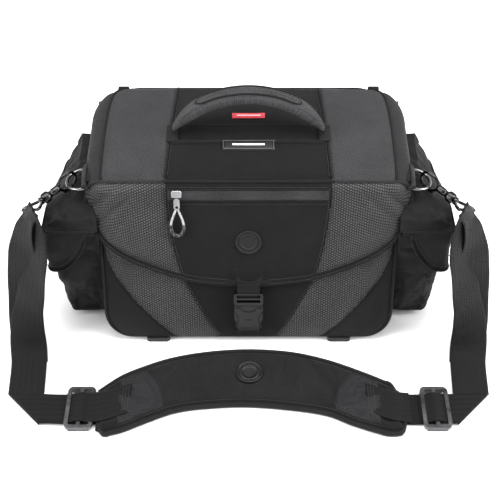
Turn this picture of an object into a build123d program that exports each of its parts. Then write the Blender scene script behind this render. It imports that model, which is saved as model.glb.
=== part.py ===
"""Padded camera shoulder bag: a foam-walled box with a fold-over lid and flap, a side-release
buckle, a carry handle, two side pouches, D-rings with snap hooks, and a shoulder strap that lies
on the floor in front of the bag.

Millimetres. +X is the bag's right, seen from the front, +Y is its back and +Z is up. The origin is
the middle of the whole footprint, strap included, on the floor.
"""

import math
import os

from build123d import *

os.makedirs("parts", exist_ok=True)

# ---- driving dimensions -------------------------------------------------------------------
PAD_REACH = 124.0  # how far the shoulder pad lies in front of the bag's foot line
BAG_REACH = 190.0  # how far the lid's rear loops stand behind it
FOOT_LINE = (PAD_REACH - BAG_REACH) / 2  # y of the front bottom edge, so y is centred on the footprint

HALF_WIDTH = 160.0  # body
BOTTOM = 6.0  # underside of the body, on its feet
BACK = 185.0  # back of the body, behind the foot line
RIM_FRONT, RIM_BACK = 178.0, 200.0  # heights of the body's open rim
CORNER = 30.0  # bottom corners, seen from the front
WALL = 9.0  # padded wall
LINER = 4.0
POCKET_SKIN = 3.0

FRONT_LEAN = 0.343  # the front pocket and flap lean back this much per mm of height
WALL_LEAN = 0.16  # the compartment's front wall leans less
FRONT_FOOT, WALL_FOOT = 3.0, 36.0  # where those two planes start, behind the foot line
POCKET_TOP, POCKET_MOUTH = 150.0, 112.0
POCKET_MOUTH_HALF = 125.0

FLAP_GAP, FLAP_THICK = 0.8, 5.0
FLAP_HALF = 160.0
LID_HALF, LID_THICK = 150.0, 8.0
LID_CREST = [(60, 189), (82, 199.5), (108, 207), (150, 214.5), (188, 217)]  # (behind foot line, z)
SKIRT_OUT, SKIRT_IN = 169.0, 162.0
SKIRT_HEMS = [(68, 184), (82, 185), (108, 186), (150, 188), (188, 188)]
HINGE_Y, HINGE_Z = 187.0, 205.0

HANDLE_Y, HANDLE_Z = 114.0, 217.0  # its swing axis
HANDLE_LEAN = 5.0
HANDLE_RADIUS, HANDLE_DROP = 98.0, 57.0  # arc's radius, and its centre below the axis

ZIP_HEIGHT, ZIP_HALF = 177.0, 84.0
SLIDER_X = -75.0
CORD = 2.4

BADGE_HEIGHT, BADGE_RADIUS = 124.0, 14.8
BUCKLE_HEIGHT, BUCKLE_WIDTH = 45.0, 32.0
STRAP_25 = 25.0

RING_WIRE = 1.7
RING_Y, RING_BAR_X, RING_BAR_Z = 79.0, 170.5, 177.5
RING_HALF, RING_LEG = 15.4, 7.0
RING_DROOP = 10.0  # degrees below level

WEB_WIDTH, WEB_THICK = 40.0, 3.0
WEB_X = 235.5
FOLD_Y = (-73.0, -113.0)  # rear and front edges of the strap's sideways run, from the foot line
GLIDE_LEFT_X, GLIDE_RIGHT_X = -179.0, 199.0
PAD_TIP = 163.0


def at(y):
    """A y measured back from the foot line, in the part's frame."""
    return FOOT_LINE + y


def front_y(z):
    """The front pocket's outer face at height z."""
    return at(FRONT_FOOT + FRONT_LEAN * (z - 8))


def wall_y(z):
    """The compartment's front wall, outer face, at height z."""
    return at(WALL_FOOT + WALL_LEAN * (z - BOTTOM))


def crest(y):
    """Height of the lid's top at y, measured back from the foot line."""
    for (y0, z0), (y1, z1) in zip(LID_CREST, LID_CREST[1:]):
        if y <= y1:
            return z0 + (z1 - z0) * (y - y0) / (y1 - y0)
    return LID_CREST[-1][1]


def front_plane(z):
    """Plane on the front pocket's face: x to the right, y up the slope, z outwards."""
    slope = Vector(0, FRONT_LEAN, 1).normalized()
    outward = Vector(0, -slope.Z, slope.Y)
    return Plane(origin=(0, front_y(z), z), x_dir=(1, 0, 0), z_dir=outward)


SLOPE = math.hypot(1, FRONT_LEAN)  # mm along the front face per mm of height


def save(part, name):
    part.label = name
    export_step(part, f"parts/{name}.step")


def save_pair(right_part, name):
    """Writes the right-hand piece and its mirror image."""
    save(right_part, f"{name}_right")
    with BuildPart() as left:
        mirror(right_part, about=Plane.YZ)
    save(left.part, f"{name}_left")


def side_prism(points, half):
    """A side profile of (y, z) points, drawn out to both sides of the middle."""
    with BuildPart() as prism:
        with BuildSketch(Plane.YZ):
            with BuildLine():
                Polyline(*points, close=True)
            make_face()
        extrude(amount=half, both=True)
    return prism.part


def rounded_prism(points, half, corner):
    """A side prism whose two bottom edges are rounded, as seen from the front."""
    with BuildPart() as prism:
        add(side_prism(points, half))
        fillet(prism.edges().filter_by(Axis.Y).group_by(Axis.Z)[0], radius=corner)
    return prism.part


# ---- body box: five padded panels -----------------------------------------------------------
def box_profile(inset, floor, lift):
    return [
        (wall_y(floor) + inset, floor),
        (wall_y(RIM_FRONT) + inset, RIM_FRONT + lift),
        (at(BACK) - inset, RIM_BACK + lift),
        (at(BACK) - inset, floor),
    ]


outer_box = rounded_prism(box_profile(0, BOTTOM, 0), HALF_WIDTH, CORNER)
inner_box = rounded_prism(box_profile(WALL, BOTTOM + 6, 60), HALF_WIDTH - WALL, CORNER - WALL)

front_slab = side_prism(
    [
        (wall_y(0), 0),
        (wall_y(250), 250),
        (wall_y(250) + WALL, 250),
        (wall_y(0) + WALL, 0),
    ],
    200,
)
back_slab = side_prism([(at(BACK - WALL), 0), (at(BACK - WALL), 250), (at(BACK), 250), (at(BACK), 0)], 200)

with BuildPart() as front_panel:
    add(outer_box)
    add(front_slab, mode=Mode.INTERSECT)
save(front_panel.part, "front_panel")

with BuildPart() as back_panel:
    add(outer_box)
    add(back_slab, mode=Mode.INTERSECT)
save(back_panel.part, "back_panel")

with BuildPart() as gusset:
    add(outer_box)
    add(inner_box, mode=Mode.SUBTRACT)
    add(front_slab, mode=Mode.SUBTRACT)
    add(back_slab, mode=Mode.SUBTRACT)

CORNER_START = HALF_WIDTH - CORNER
with BuildPart() as base_panel:
    add(gusset.part)
    with Locations((0, at(BACK / 2), 0)):
        Box(2 * CORNER_START, 400, 100, mode=Mode.INTERSECT)
save(base_panel.part, "base_panel")

with BuildPart() as side_panel:
    add(gusset.part)
    with Locations((CORNER_START + 50, at(BACK / 2), 120)):
        Box(100, 400, 300, mode=Mode.INTERSECT)
save_pair(side_panel.part, "side_panel")

# ---- inside: liner, board and dividers ------------------------------------------------------
FLOOR = BOTTOM + 6
CLEAR = 0.2
with BuildPart() as foam_liner:
    add(rounded_prism(box_profile(WALL + CLEAR, FLOOR + CLEAR, -6), HALF_WIDTH - WALL - CLEAR, CORNER - WALL))
    inset = WALL + CLEAR + LINER
    hollow = rounded_prism(box_profile(inset, FLOOR + LINER, 60), HALF_WIDTH - inset, CORNER - inset)
    add(hollow, mode=Mode.SUBTRACT)
save(foam_liner.part, "foam_liner")

BOARD_TOP = FLOOR + LINER + 2.5
with BuildPart() as base_board:
    board_front = WALL_FOOT + WALL + LINER + 4
    board_back = BACK - WALL - LINER - 2
    middle = at((board_front + board_back) / 2)
    with Locations((0, middle, (FLOOR + LINER + BOARD_TOP) / 2)):
        Box(2 * (HALF_WIDTH - 34), board_back - board_front, BOARD_TOP - FLOOR - LINER)
    fillet(base_board.edges().filter_by(Axis.Z), radius=10)
save(base_board.part, "base_board")

DIVIDER_X, DIVIDER_THICK, DIVIDER_TOP = 49.0, 6.0, 160.0
with BuildPart() as divider_right:
    reach_in = WALL + CLEAR + LINER + 0.4
    with BuildSketch(Plane.YZ.offset(DIVIDER_X)):
        with BuildLine():
            Polyline(
                (wall_y(BOARD_TOP) + reach_in + 1, BOARD_TOP + 0.3),
                (wall_y(DIVIDER_TOP) + reach_in, DIVIDER_TOP),
                (at(BACK) - reach_in, DIVIDER_TOP),
                (at(BACK) - reach_in, BOARD_TOP + 0.3),
                close=True,
            )
        make_face()
    extrude(amount=DIVIDER_THICK / 2, both=True)
    fillet(divider_right.edges().filter_by(Axis.X).group_by(Axis.Z)[-1], radius=12)
save_pair(divider_right.part, "divider")

# ---- front pocket: a wedge-shaped pouch on the front wall -----------------------------------
with BuildPart() as front_pocket:
    add(
        rounded_prism(
            [
                (front_y(BOTTOM), BOTTOM),
                (front_y(POCKET_TOP), POCKET_TOP),
                (wall_y(POCKET_TOP), POCKET_TOP),
                (wall_y(BOTTOM), BOTTOM),
            ],
            HALF_WIDTH,
            CORNER,
        )
    )
    cavity_floor = 18
    cavity = side_prism(
        [
            (front_y(cavity_floor) + POCKET_SKIN, cavity_floor),
            (front_y(POCKET_TOP + 2) + POCKET_SKIN, POCKET_TOP + 2),
            (wall_y(POCKET_TOP + 2), POCKET_TOP + 2),
            (wall_y(cavity_floor), cavity_floor),
        ],
        HALF_WIDTH - 12,
    )
    add(cavity, mode=Mode.SUBTRACT)
    with Locations((0, at(40), POCKET_MOUTH + 50)):
        Box(2 * POCKET_MOUTH_HALF, 100, 100, mode=Mode.SUBTRACT)
save(front_pocket.part, "front_pocket")

# ---- feet -----------------------------------------------------------------------------------
FOOT = (26.0, 32.0, BOTTOM)
with BuildPart() as feet:
    for foot_x in (-102, 102):
        for foot_y in (17, 166):
            with Locations((foot_x, at(foot_y), BOTTOM / 2)):
                Box(*FOOT)
    fillet(feet.edges().filter_by(Axis.Z), radius=4)
save(feet.part, "feet")

# ---- side pouch, its hood and its flap (right side; mirrored for the left) --------------------
POUCH_FRONT, POUCH_BACK = 41.0, 148.0
POUCH_INNER = HALF_WIDTH + 0.3
POUCH_SKIN = 3.0


def cross_section(points, y_from, y_to):
    """A profile of (x, z) points, drawn out from y_from to y_to behind the foot line."""
    with BuildPart() as prism:
        with BuildSketch(Plane.XZ.offset(-at(y_from))):
            with BuildLine():
                Polyline(*points, close=True)
            make_face()
        extrude(amount=-(y_to - y_from))
    return prism.part


with BuildPart() as side_pouch:
    sling = [
        (POUCH_INNER, 10),
        (190, 10),
        (197, 18),
        (206, 104),
        (206 - POUCH_SKIN, 104),
        (197 - POUCH_SKIN, 19.5),
        (189, 10 + POUCH_SKIN),
        (POUCH_INNER + POUCH_SKIN, 10 + POUCH_SKIN),
        (POUCH_INNER + POUCH_SKIN, 136),
        (POUCH_INNER, 136),
    ]
    add(cross_section(sling, POUCH_FRONT, POUCH_BACK))
    end_wall = [(POUCH_INNER, 10), (190, 10), (197, 18), (208.5, 128), (208.5, 136), (POUCH_INNER, 136)]
    add(cross_section(end_wall, POUCH_FRONT, POUCH_FRONT + POUCH_SKIN))
    add(cross_section(end_wall, POUCH_BACK - POUCH_SKIN, POUCH_BACK))
save_pair(side_pouch.part, "side_pouch")

HOOD_BASE, HOOD_OUT = 140.0, 215.0
# (behind foot line, eave height, ridge x, ridge z, z at the bag's side)
HOOD_RIBS = [(38, 146, 203, 148, 149), (77, 147, 180, 163, 165), (105, 145, 184, 169, 171), (151, 143, 190, 180, 182)]


def hood_loft(ribs, inset):
    """The hood's outer shape, or the space inside it when inset is the fabric's thickness."""
    base = HOOD_BASE - (1 if inset else 0)
    inner = POUCH_INNER + inset
    with BuildPart() as loft_part:
        for y, eave, ridge_x, ridge_z, wall_z in ribs:
            with BuildSketch(Plane.XZ.offset(-at(y))):
                with BuildLine():
                    Polyline(
                        (inner, base),
                        (HOOD_OUT - inset, base),
                        (HOOD_OUT - inset, eave - inset),
                        (ridge_x - inset / 2, ridge_z - 1.2 * inset),
                        (inner, wall_z - 1.2 * inset),
                        close=True,
                    )
                make_face()
        loft(ruled=True)
    return loft_part.part


with BuildPart() as pouch_hood:
    add(hood_loft(HOOD_RIBS, 0))
    inside = [(HOOD_RIBS[0][0] + POUCH_SKIN, *HOOD_RIBS[0][1:]), *HOOD_RIBS[1:3]]
    inside += [(HOOD_RIBS[3][0] - POUCH_SKIN, *HOOD_RIBS[3][1:])]
    add(hood_loft(inside, POUCH_SKIN), mode=Mode.SUBTRACT)
save_pair(pouch_hood.part, "pouch_hood")

FLAP_HINGE_X, FLAP_HINGE_Z = 218.0, 140.5
with BuildPart() as pouch_flap:
    face = [(215.7, 139), (215.7, 82), (217, 80), (219.2, 82), (219.2, 139)]
    add(cross_section(face, 37.5, 152.5))
    wing = [(219.2, 139), (172, 139), (175, 122), (185, 100), (198, 84), (206, 80), (214, 82), (219.2, 92)]
    add(cross_section(wing, 35.0, 37.6))
    add(cross_section(wing, 152.4, 155.0))
save_pair(pouch_flap.part, "pouch_flap")

# ---- D-ring and its tab (right side) ----------------------------------------------------------
droop = math.radians(RING_DROOP)
ring_out = Vector(math.cos(droop), 0, -math.sin(droop))
ring_plane = Plane(
    origin=(RING_BAR_X, at(RING_Y), RING_BAR_Z), x_dir=ring_out, z_dir=ring_out.cross(Vector(0, 1, 0))
)
RING_APEX = RING_LEG + RING_HALF  # from the bar's axis to the wire's axis at the far side
apex = ring_plane.origin + ring_out * RING_APEX

RING_CORNER = 4.0
with BuildPart() as d_ring:
    with BuildLine(ring_plane) as ring_path:
        Line((0, 0), (0, RING_HALF - RING_CORNER))
        RadiusArc(ring_path.line @ 1, (RING_CORNER, RING_HALF), RING_CORNER)
        Line((RING_CORNER, RING_HALF), (RING_LEG, RING_HALF))
        RadiusArc((RING_LEG, RING_HALF), (RING_APEX, 0), RING_HALF)
        RadiusArc((RING_APEX, 0), (RING_LEG, -RING_HALF), RING_HALF)
        Line((RING_LEG, -RING_HALF), (RING_CORNER, -RING_HALF))
        RadiusArc((RING_CORNER, -RING_HALF), (0, -RING_HALF + RING_CORNER), RING_CORNER)
        Line((0, -RING_HALF + RING_CORNER), (0, 0))
    with BuildSketch(Plane(origin=ring_plane.origin, z_dir=(0, 1, 0))):
        Circle(RING_WIRE)
    sweep()
save_pair(d_ring.part, "d_ring")

TAB_BORE = RING_WIRE + 0.08
with BuildPart() as ring_tab:
    plate = [
        (POUCH_INNER, 171),
        (POUCH_INNER, 176),
        (RING_BAR_X - 2, RING_BAR_Z + 3.4),
        (RING_BAR_X, RING_BAR_Z),
        (RING_BAR_X - 1.5, RING_BAR_Z - 3.6),
        (POUCH_INNER + 3, 171),
    ]
    add(cross_section(plate, RING_Y - 10.4, RING_Y + 10.4))
    with Locations(Location((RING_BAR_X, at(RING_Y), RING_BAR_Z), (90, 0, 0))):
        Cylinder(4.2, 20.8)
        Cylinder(TAB_BORE, 30, mode=Mode.SUBTRACT)
save_pair(ring_tab.part, "ring_tab")

# ---- snap hook (right side): body, gate and swivel eye ------------------------------------------
hook_axis = Vector(0.698, -0.700, -0.155).normalized()  # from the D-ring to the strap
hole_axis = (Vector(0, 1, 0) - hook_axis * hook_axis.Y).normalized()
eye_bar = Vector(-0.50, -0.63, 0.59)
eye_bar = (eye_bar - hook_axis * eye_bar.dot(hook_axis)).normalized()
hook_plane = Plane(origin=apex, x_dir=hook_axis, z_dir=hole_axis)  # x along the hook, y across it
shank_plane = Plane(origin=apex, z_dir=hook_axis)
eye_plane = Plane(origin=apex, x_dir=hook_axis, z_dir=hook_axis.cross(eye_bar))

HOLE_HALF, HOLE_REACH, HOOK_WIRE, HOOK_THICK = 7.2, 9.6, 3.4, 3.0
GATE_FROM, GATE_TO = -5.0, 9.0
COLLAR_FROM, COLLAR_TO, PIN_RADIUS = 26.0, 33.0, 2.5
EYE_FROM, EYE_BAR_AT, EYE_HALF = 35.0, 50.0, 22.5


with BuildPart() as hook:
    with BuildSketch(hook_plane):
        with Locations((0.5, 0)):
            outer_half = HOLE_HALF + HOOK_WIRE
            SlotOverall(2 * (HOLE_REACH + HOOK_WIRE), 2 * outer_half)
            SlotOverall(2 * HOLE_REACH, 2 * HOLE_HALF, mode=Mode.SUBTRACT)
        with Locations(((GATE_FROM + GATE_TO) / 2, HOLE_HALF + HOOK_WIRE / 2)):
            Rectangle(GATE_TO - GATE_FROM, HOOK_WIRE + 1.5, mode=Mode.SUBTRACT)
    extrude(amount=HOOK_THICK / 2, both=True)
    with BuildSketch(shank_plane.offset(12.5)):
        Circle(4.2)
    extrude(amount=COLLAR_FROM - 12.5)
    with BuildSketch(shank_plane.offset(COLLAR_FROM)):
        Circle(6.0)
    extrude(amount=COLLAR_TO - COLLAR_FROM)
    with BuildSketch(shank_plane.offset(COLLAR_FROM - 6)):
        Circle(PIN_RADIUS + 0.08)
    extrude(amount=COLLAR_TO - COLLAR_FROM + 7, mode=Mode.SUBTRACT)
save_pair(hook.part, "hook")

with BuildPart() as hook_gate:
    with BuildSketch(hook_plane):
        with Locations(((GATE_FROM + GATE_TO) / 2, HOLE_HALF + HOOK_WIRE / 2)):
            RectangleRounded(GATE_TO - GATE_FROM - 0.8, HOOK_WIRE - 0.4, 1.2)
        with Locations((GATE_FROM + 5, HOLE_HALF + HOOK_WIRE + 0.6)):
            RectangleRounded(4.0, 2.4, 1.0)
    extrude(amount=1.4, both=True)
save_pair(hook_gate.part, "hook_gate")

with BuildPart() as hook_eye:
    with BuildSketch(eye_plane):
        with BuildLine():
            Polyline(
                (EYE_FROM, -6),
                (EYE_FROM, 6),
                (EYE_BAR_AT - 4, EYE_HALF + 1.7),
                (EYE_BAR_AT + 1.9, EYE_HALF + 1.7),
                (EYE_BAR_AT + 1.9, -EYE_HALF - 1.7),
                (EYE_BAR_AT - 4, -EYE_HALF - 1.7),
                close=True,
            )
        make_face()
        with BuildLine():
            Polyline(
                (EYE_FROM + 4, -4),
                (EYE_FROM + 4, 4),
                (EYE_BAR_AT - 4, EYE_HALF - 1.7),
                (EYE_BAR_AT - 1.9, EYE_HALF - 1.7),
                (EYE_BAR_AT - 1.9, -EYE_HALF + 1.7),
                (EYE_BAR_AT - 4, -EYE_HALF + 1.7),
                close=True,
            )
        make_face(mode=Mode.SUBTRACT)
    extrude(amount=1.8, both=True)
    with BuildSketch(shank_plane.offset(COLLAR_FROM - 5.5)):
        Circle(PIN_RADIUS)
    extrude(amount=EYE_FROM + 1 - (COLLAR_FROM - 5.5))
save_pair(hook_eye.part, "hook_eye")

# ---- shoulder strap webbing ---------------------------------------------------------------------
bar_end = apex + hook_axis * EYE_BAR_AT
# (x, behind foot line, z) down the middle of the strap, and the direction across it
web_line = [
    ((bar_end.X + 4.6, bar_end.Y - FOOT_LINE - 4.6, bar_end.Z - 5.2), tuple(eye_bar)),
    ((235.5, 27, 143), (-0.88, -0.33, 0.28)),
    ((237.5, 21, 112), (-0.96, -0.22, 0.15)),
    ((236.5, 10, 70), (-1, -0.08, 0.05)),
    ((WEB_X, -3, 30), (-1, 0, 0)),
    ((WEB_X, -15, 9), (-1, 0, 0)),
    ((WEB_X, -32, WEB_THICK / 2), (-1, 0, 0)),
]


def web_sections():
    """Planes square to the hanging strap, each with its x across the strap."""
    points = [Vector(p[0], at(p[1]), p[2]) for p, _ in web_line]
    planes = []
    for i, (_, across) in enumerate(web_line):
        before, after = points[max(i - 1, 0)], points[min(i + 1, len(points) - 1)]
        along = (after - before).normalized()
        if i == len(web_line) - 1:
            along = Vector(0, -1, 0)
        wide = Vector(*across)
        wide = (wide - along * wide.dot(along)).normalized()
        planes.append(Plane(origin=points[i], x_dir=wide, z_dir=along))
    return planes


def strap_side(rear_y, front_y_, inner_x):
    """Webbing of the right side: from the hook's eye to the floor, round the fold and in to the pad."""
    outer_x = WEB_X + WEB_WIDTH / 2
    near_x = WEB_X - WEB_WIDTH / 2
    with BuildPart() as webbing:
        for plane in web_sections():
            with BuildSketch(plane):
                Rectangle(WEB_WIDTH, WEB_THICK)
        loft(ruled=True)
        with BuildSketch(Plane.XY):
            with BuildLine():
                Polyline(
                    (near_x, at(-32)),
                    (outer_x, at(-32)),
                    (outer_x, at(rear_y)),
                    (near_x, at(front_y_)),
                    close=True,
                )
            make_face()
        extrude(amount=WEB_THICK)
        with BuildSketch(Plane.XY):
            with BuildLine():
                Polyline(
                    (inner_x, at(rear_y)),
                    (outer_x, at(rear_y)),
                    (near_x, at(front_y_)),
                    (inner_x, at(front_y_)),
                    close=True,
                )
            make_face()
        extrude(amount=WEB_THICK)
        with BuildSketch(Plane.XY):
            with BuildLine():
                Polyline(
                    (near_x, at(rear_y)),
                    (outer_x, at(rear_y)),
                    (near_x, at(front_y_)),
                    close=True,
                )
            make_face()
        extrude(amount=2 * WEB_THICK)
    return webbing.part


save_pair(strap_side(*FOLD_Y, PAD_TIP + 0.5), "webbing")

GLIDE_LONG, GLIDE_WIDE, GLIDE_BAR = 30.0, 53.0, 4.0
for glide_x, glide_name in ((GLIDE_LEFT_X, "tri_glide_left"), (GLIDE_RIGHT_X, "tri_glide_right")):
    with BuildPart() as tri_glide:
        middle_y = at(sum(FOLD_Y) / 2)
        with BuildSketch(Plane.XY.offset(WEB_THICK + 0.4)):
            with Locations((glide_x, middle_y)):
                RectangleRounded(GLIDE_LONG, GLIDE_WIDE, 6)
                RectangleRounded(GLIDE_LONG - 2 * GLIDE_BAR, GLIDE_WIDE - 2 * GLIDE_BAR, 2.5, mode=Mode.SUBTRACT)
                Rectangle(GLIDE_BAR, GLIDE_WIDE - GLIDE_BAR)
        extrude(amount=3.6)
        with BuildSketch(Plane.XY.offset(0.4)):
            for side in (-1, 1):
                with Locations((glide_x, middle_y + side * (GLIDE_WIDE - GLIDE_BAR) / 2)):
                    RectangleRounded(GLIDE_LONG - 8, GLIDE_BAR, 1.5)
        extrude(amount=WEB_THICK + 1)
    save(tri_glide.part, glide_name)

# ---- shoulder pad -------------------------------------------------------------------------------
PAD_THICK = 10.0
PAD_REAR, PAD_REAR_TIP, PAD_FRONT, PAD_FRONT_TIP = -16.0, -70.0, -88.0, -PAD_REACH
with BuildPart() as shoulder_pad:
    with BuildSketch(Plane.XY):
        with BuildLine():
            ThreePointArc((-PAD_TIP, at(PAD_REAR_TIP)), (0, at(PAD_REAR)), (PAD_TIP, at(PAD_REAR_TIP)))
            Line((PAD_TIP, at(PAD_REAR_TIP)), (PAD_TIP, at(PAD_FRONT_TIP)))
            ThreePointArc((PAD_TIP, at(PAD_FRONT_TIP)), (0, at(PAD_FRONT)), (-PAD_TIP, at(PAD_FRONT_TIP)))
            Line((-PAD_TIP, at(PAD_FRONT_TIP)), (-PAD_TIP, at(PAD_REAR_TIP)))
        make_face()
    extrude(amount=PAD_THICK)
    fillet(shoulder_pad.edges().group_by(Axis.Z)[-1], radius=3)
save(shoulder_pad.part, "shoulder_pad")

BADGE_TALL = 2.2


def badge(plane):
    """A round moulded badge: rim, thin disc and a plain six-sided outline."""
    with BuildPart() as made:
        with BuildSketch(plane):
            Circle(BADGE_RADIUS)
        extrude(amount=1.0)
        with BuildSketch(plane):
            Circle(BADGE_RADIUS)
            Circle(BADGE_RADIUS - 2.2, mode=Mode.SUBTRACT)
        extrude(amount=BADGE_TALL)
        with BuildSketch(plane):
            RegularPolygon(6.4, 6)
            RegularPolygon(4.9, 6, mode=Mode.SUBTRACT)
        extrude(amount=BADGE_TALL - 0.4)
    return made.part


save(badge(Plane(origin=(1, at(-50), PAD_THICK))), "pad_badge")

# ---- lid: top, flap, skirts and foam ------------------------------------------------------------
crest_points = [(at(y), z) for y, z in LID_CREST]
with BuildPart() as lid_top:
    under = [(y + 1.5, z - LID_THICK) for y, z in crest_points]
    under[-1] = (crest_points[-1][0], crest_points[-1][1] - LID_THICK)
    add(side_prism([*crest_points, *reversed(under)], LID_HALF))
save(lid_top.part, "lid_top")

FLAP_EDGE = [(0, 73), (60, 79), (97, 90), (128, 104), (150, 121), (FLAP_HALF, 147)]  # (x, z)
FLAP_TOP = 186.0
base_plane = front_plane(8)


def up(z):
    """Distance up the front face, from its foot, of a point at height z."""
    return (z - 8) * SLOPE


with BuildPart() as lid_flap:
    right_edge = [(x, up(z)) for x, z in FLAP_EDGE]
    left_edge = [(-x, y) for x, y in reversed(right_edge[1:])]
    with BuildSketch(base_plane.offset(FLAP_GAP)):
        with BuildLine():
            Spline(*left_edge, *right_edge)
            Line(right_edge[-1], (FLAP_HALF, up(FLAP_TOP)))
            Line((FLAP_HALF, up(FLAP_TOP)), (-FLAP_HALF, up(FLAP_TOP)))
            Line((-FLAP_HALF, up(FLAP_TOP)), left_edge[0])
        make_face()
    extrude(amount=FLAP_THICK)
    add(lid_top.part, mode=Mode.SUBTRACT)
save(lid_flap.part, "lid_flap")

with BuildPart() as lid_skirt:
    for y, hem in SKIRT_HEMS:
        top = crest(y)
        drop = top - hem
        thick = min(LID_THICK, 0.6 * drop)
        with BuildSketch(Plane.XZ.offset(-at(y))):
            with BuildLine():
                Polyline(
                    (LID_HALF, top),
                    (SKIRT_OUT - 5, top - 0.3 * drop),
                    (SKIRT_OUT, hem),
                    (SKIRT_IN, hem),
                    (SKIRT_IN - 1, top - 0.2 * drop - thick),
                    (LID_HALF, top - thick),
                    close=True,
                )
            make_face()
    loft(ruled=True)
    add(lid_flap.part, mode=Mode.SUBTRACT)
save_pair(lid_skirt.part, "lid_skirt")

with BuildPart() as lid_foam:
    foam_y = (82, 108, 150, 176)
    roof = [(at(y), crest(y) - LID_THICK - 1.4) for y in foam_y]
    add(side_prism([*roof, *[(y, z - 4) for y, z in reversed(roof)]], LID_HALF - 6))
save(lid_foam.part, "lid_foam")

with BuildPart() as hinge_strip:
    with Locations((0, at(BACK + 1), 191)):
        Box(2 * (HALF_WIDTH - 20), 1.6, 24)
save(hinge_strip.part, "hinge_strip")

with BuildPart() as lid_loop:
    with BuildSketch(Plane.YZ.offset(132)):
        with Locations((at(BACK + 1.2), 216)):
            SlotOverall(13, 7.6, rotation=90)
            SlotOverall(8.6, 3.2, rotation=90, mode=Mode.SUBTRACT)
    extrude(amount=12)
    add(lid_top.part, mode=Mode.SUBTRACT)
save_pair(lid_loop.part, "lid_loop")

# ---- on the flap: zip, badge, labels and buckle strap --------------------------------------------
flap_face = base_plane.offset(FLAP_GAP + FLAP_THICK)
with BuildPart() as flap_zip:
    with BuildSketch(flap_face):
        with Locations((0, up(ZIP_HEIGHT))):
            Rectangle(2 * ZIP_HALF, 11)
    extrude(amount=0.9)
    with BuildSketch(flap_face.offset(0.9)):
        with Locations((0, up(ZIP_HEIGHT))):
            Rectangle(2 * ZIP_HALF - 4, 4)
    extrude(amount=0.9)
save(flap_zip.part, "flap_zip")

SLIDER_BASE = 2.0
with BuildPart() as zip_slider:
    with BuildSketch(flap_face.offset(SLIDER_BASE)):
        with Locations((SLIDER_X, up(ZIP_HEIGHT))):
            RectangleRounded(11, 8, 2)
    extrude(amount=3.4)
    slider_top = zip_slider.faces().sort_by(Axis(flap_face.origin, flap_face.z_dir))[-1]
    fillet(slider_top.edges(), radius=0.8)
save(zip_slider.part, "zip_slider")

PULL_PIVOT = up(ZIP_HEIGHT) - 5.6
with BuildPart() as pull_tab:
    with BuildSketch(flap_face.offset(SLIDER_BASE + 1.0)):
        with Locations((SLIDER_X, PULL_PIVOT - 5.6)):
            SlotOverall(13.2, 6.4, rotation=90)
            with Locations((0, -3.6)):
                Circle(1.5, mode=Mode.SUBTRACT)
    extrude(amount=2.0)
save(pull_tab.part, "pull_tab")

# across, and down from the tab's eye
CORD_ROUTE = [(-0.9, 3.4), (-3.4, -3.4), (-6.6, -12), (-7.0, -21), (-3.4, -27.6)]
CORD_ROUTE += [(-x, y) for x, y in reversed(CORD_ROUTE)]
cord_top = PULL_PIVOT - 14.8
cord_plane = flap_face.offset(SLIDER_BASE + 2.0)
cord_points = [Vector(SLIDER_X + x, cord_top + y) for x, y in CORD_ROUTE]


def bend_radii(points):
    """A radius for each inner point, as large as its two runs allow."""
    radii = []
    for before, here, after in zip(points, points[1:], points[2:]):
        turn = math.radians((here - before).get_angle(after - here))
        shorter = min((here - before).length, (after - here).length)
        radii.append(0.45 * shorter / math.tan(turn / 2))
    return radii


cord_radii = bend_radii(cord_points)
with BuildPart() as pull_cord:
    with BuildLine(cord_plane) as cord_path:
        FilletPolyline(*[(p.X, p.Y) for p in cord_points], radius=cord_radii)
    with BuildSketch(Plane(origin=cord_path.line @ 0, z_dir=cord_path.line % 0)):
        Circle(CORD / 2)
    sweep()
save(pull_cord.part, "pull_cord")

badge_centre = flap_face.origin + flap_face.y_dir * up(BADGE_HEIGHT)
save(badge(Plane(origin=badge_centre, x_dir=(1, 0, 0), z_dir=flap_face.z_dir)), "flap_badge")


def crest_plane(y):
    """Plane on the lid's top at y behind the foot line: x to the right, y backwards up the slope."""
    step = 4
    along = Vector(0, 2 * step, crest(y + step) - crest(y - step)).normalized()
    return Plane(origin=(0, at(y), crest(y)), x_dir=(1, 0, 0), z_dir=Vector(1, 0, 0).cross(along))


with BuildPart() as name_label:
    with BuildSketch(crest_plane(97).offset(0.2)):
        RectangleRounded(57, 14, 2.5)
    extrude(amount=1.6)
save(name_label.part, "name_label")

with BuildPart() as red_tag:
    with BuildSketch(crest_plane(137).offset(0.2)):
        RectangleRounded(36, 7, 0.6)
    extrude(amount=1.0)
save(red_tag.part, "red_tag")

# ---- side-release buckle --------------------------------------------------------------------------
BUCKLE_LOW, BUCKLE_DEEP = 6.4, 8.2  # stands off the pocket's face by this, and its thickness
buckle_plane = front_plane(BUCKLE_HEIGHT)
SOCKET_BOTTOM, SOCKET_TOP, PLUG_TOP = -22.0, 8.0, 23.0
CAVITY_HALF, CAVITY_LOW, CAVITY_DEEP = 13.8, 1.5, 5.2
half_buckle = BUCKLE_WIDTH / 2

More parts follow.
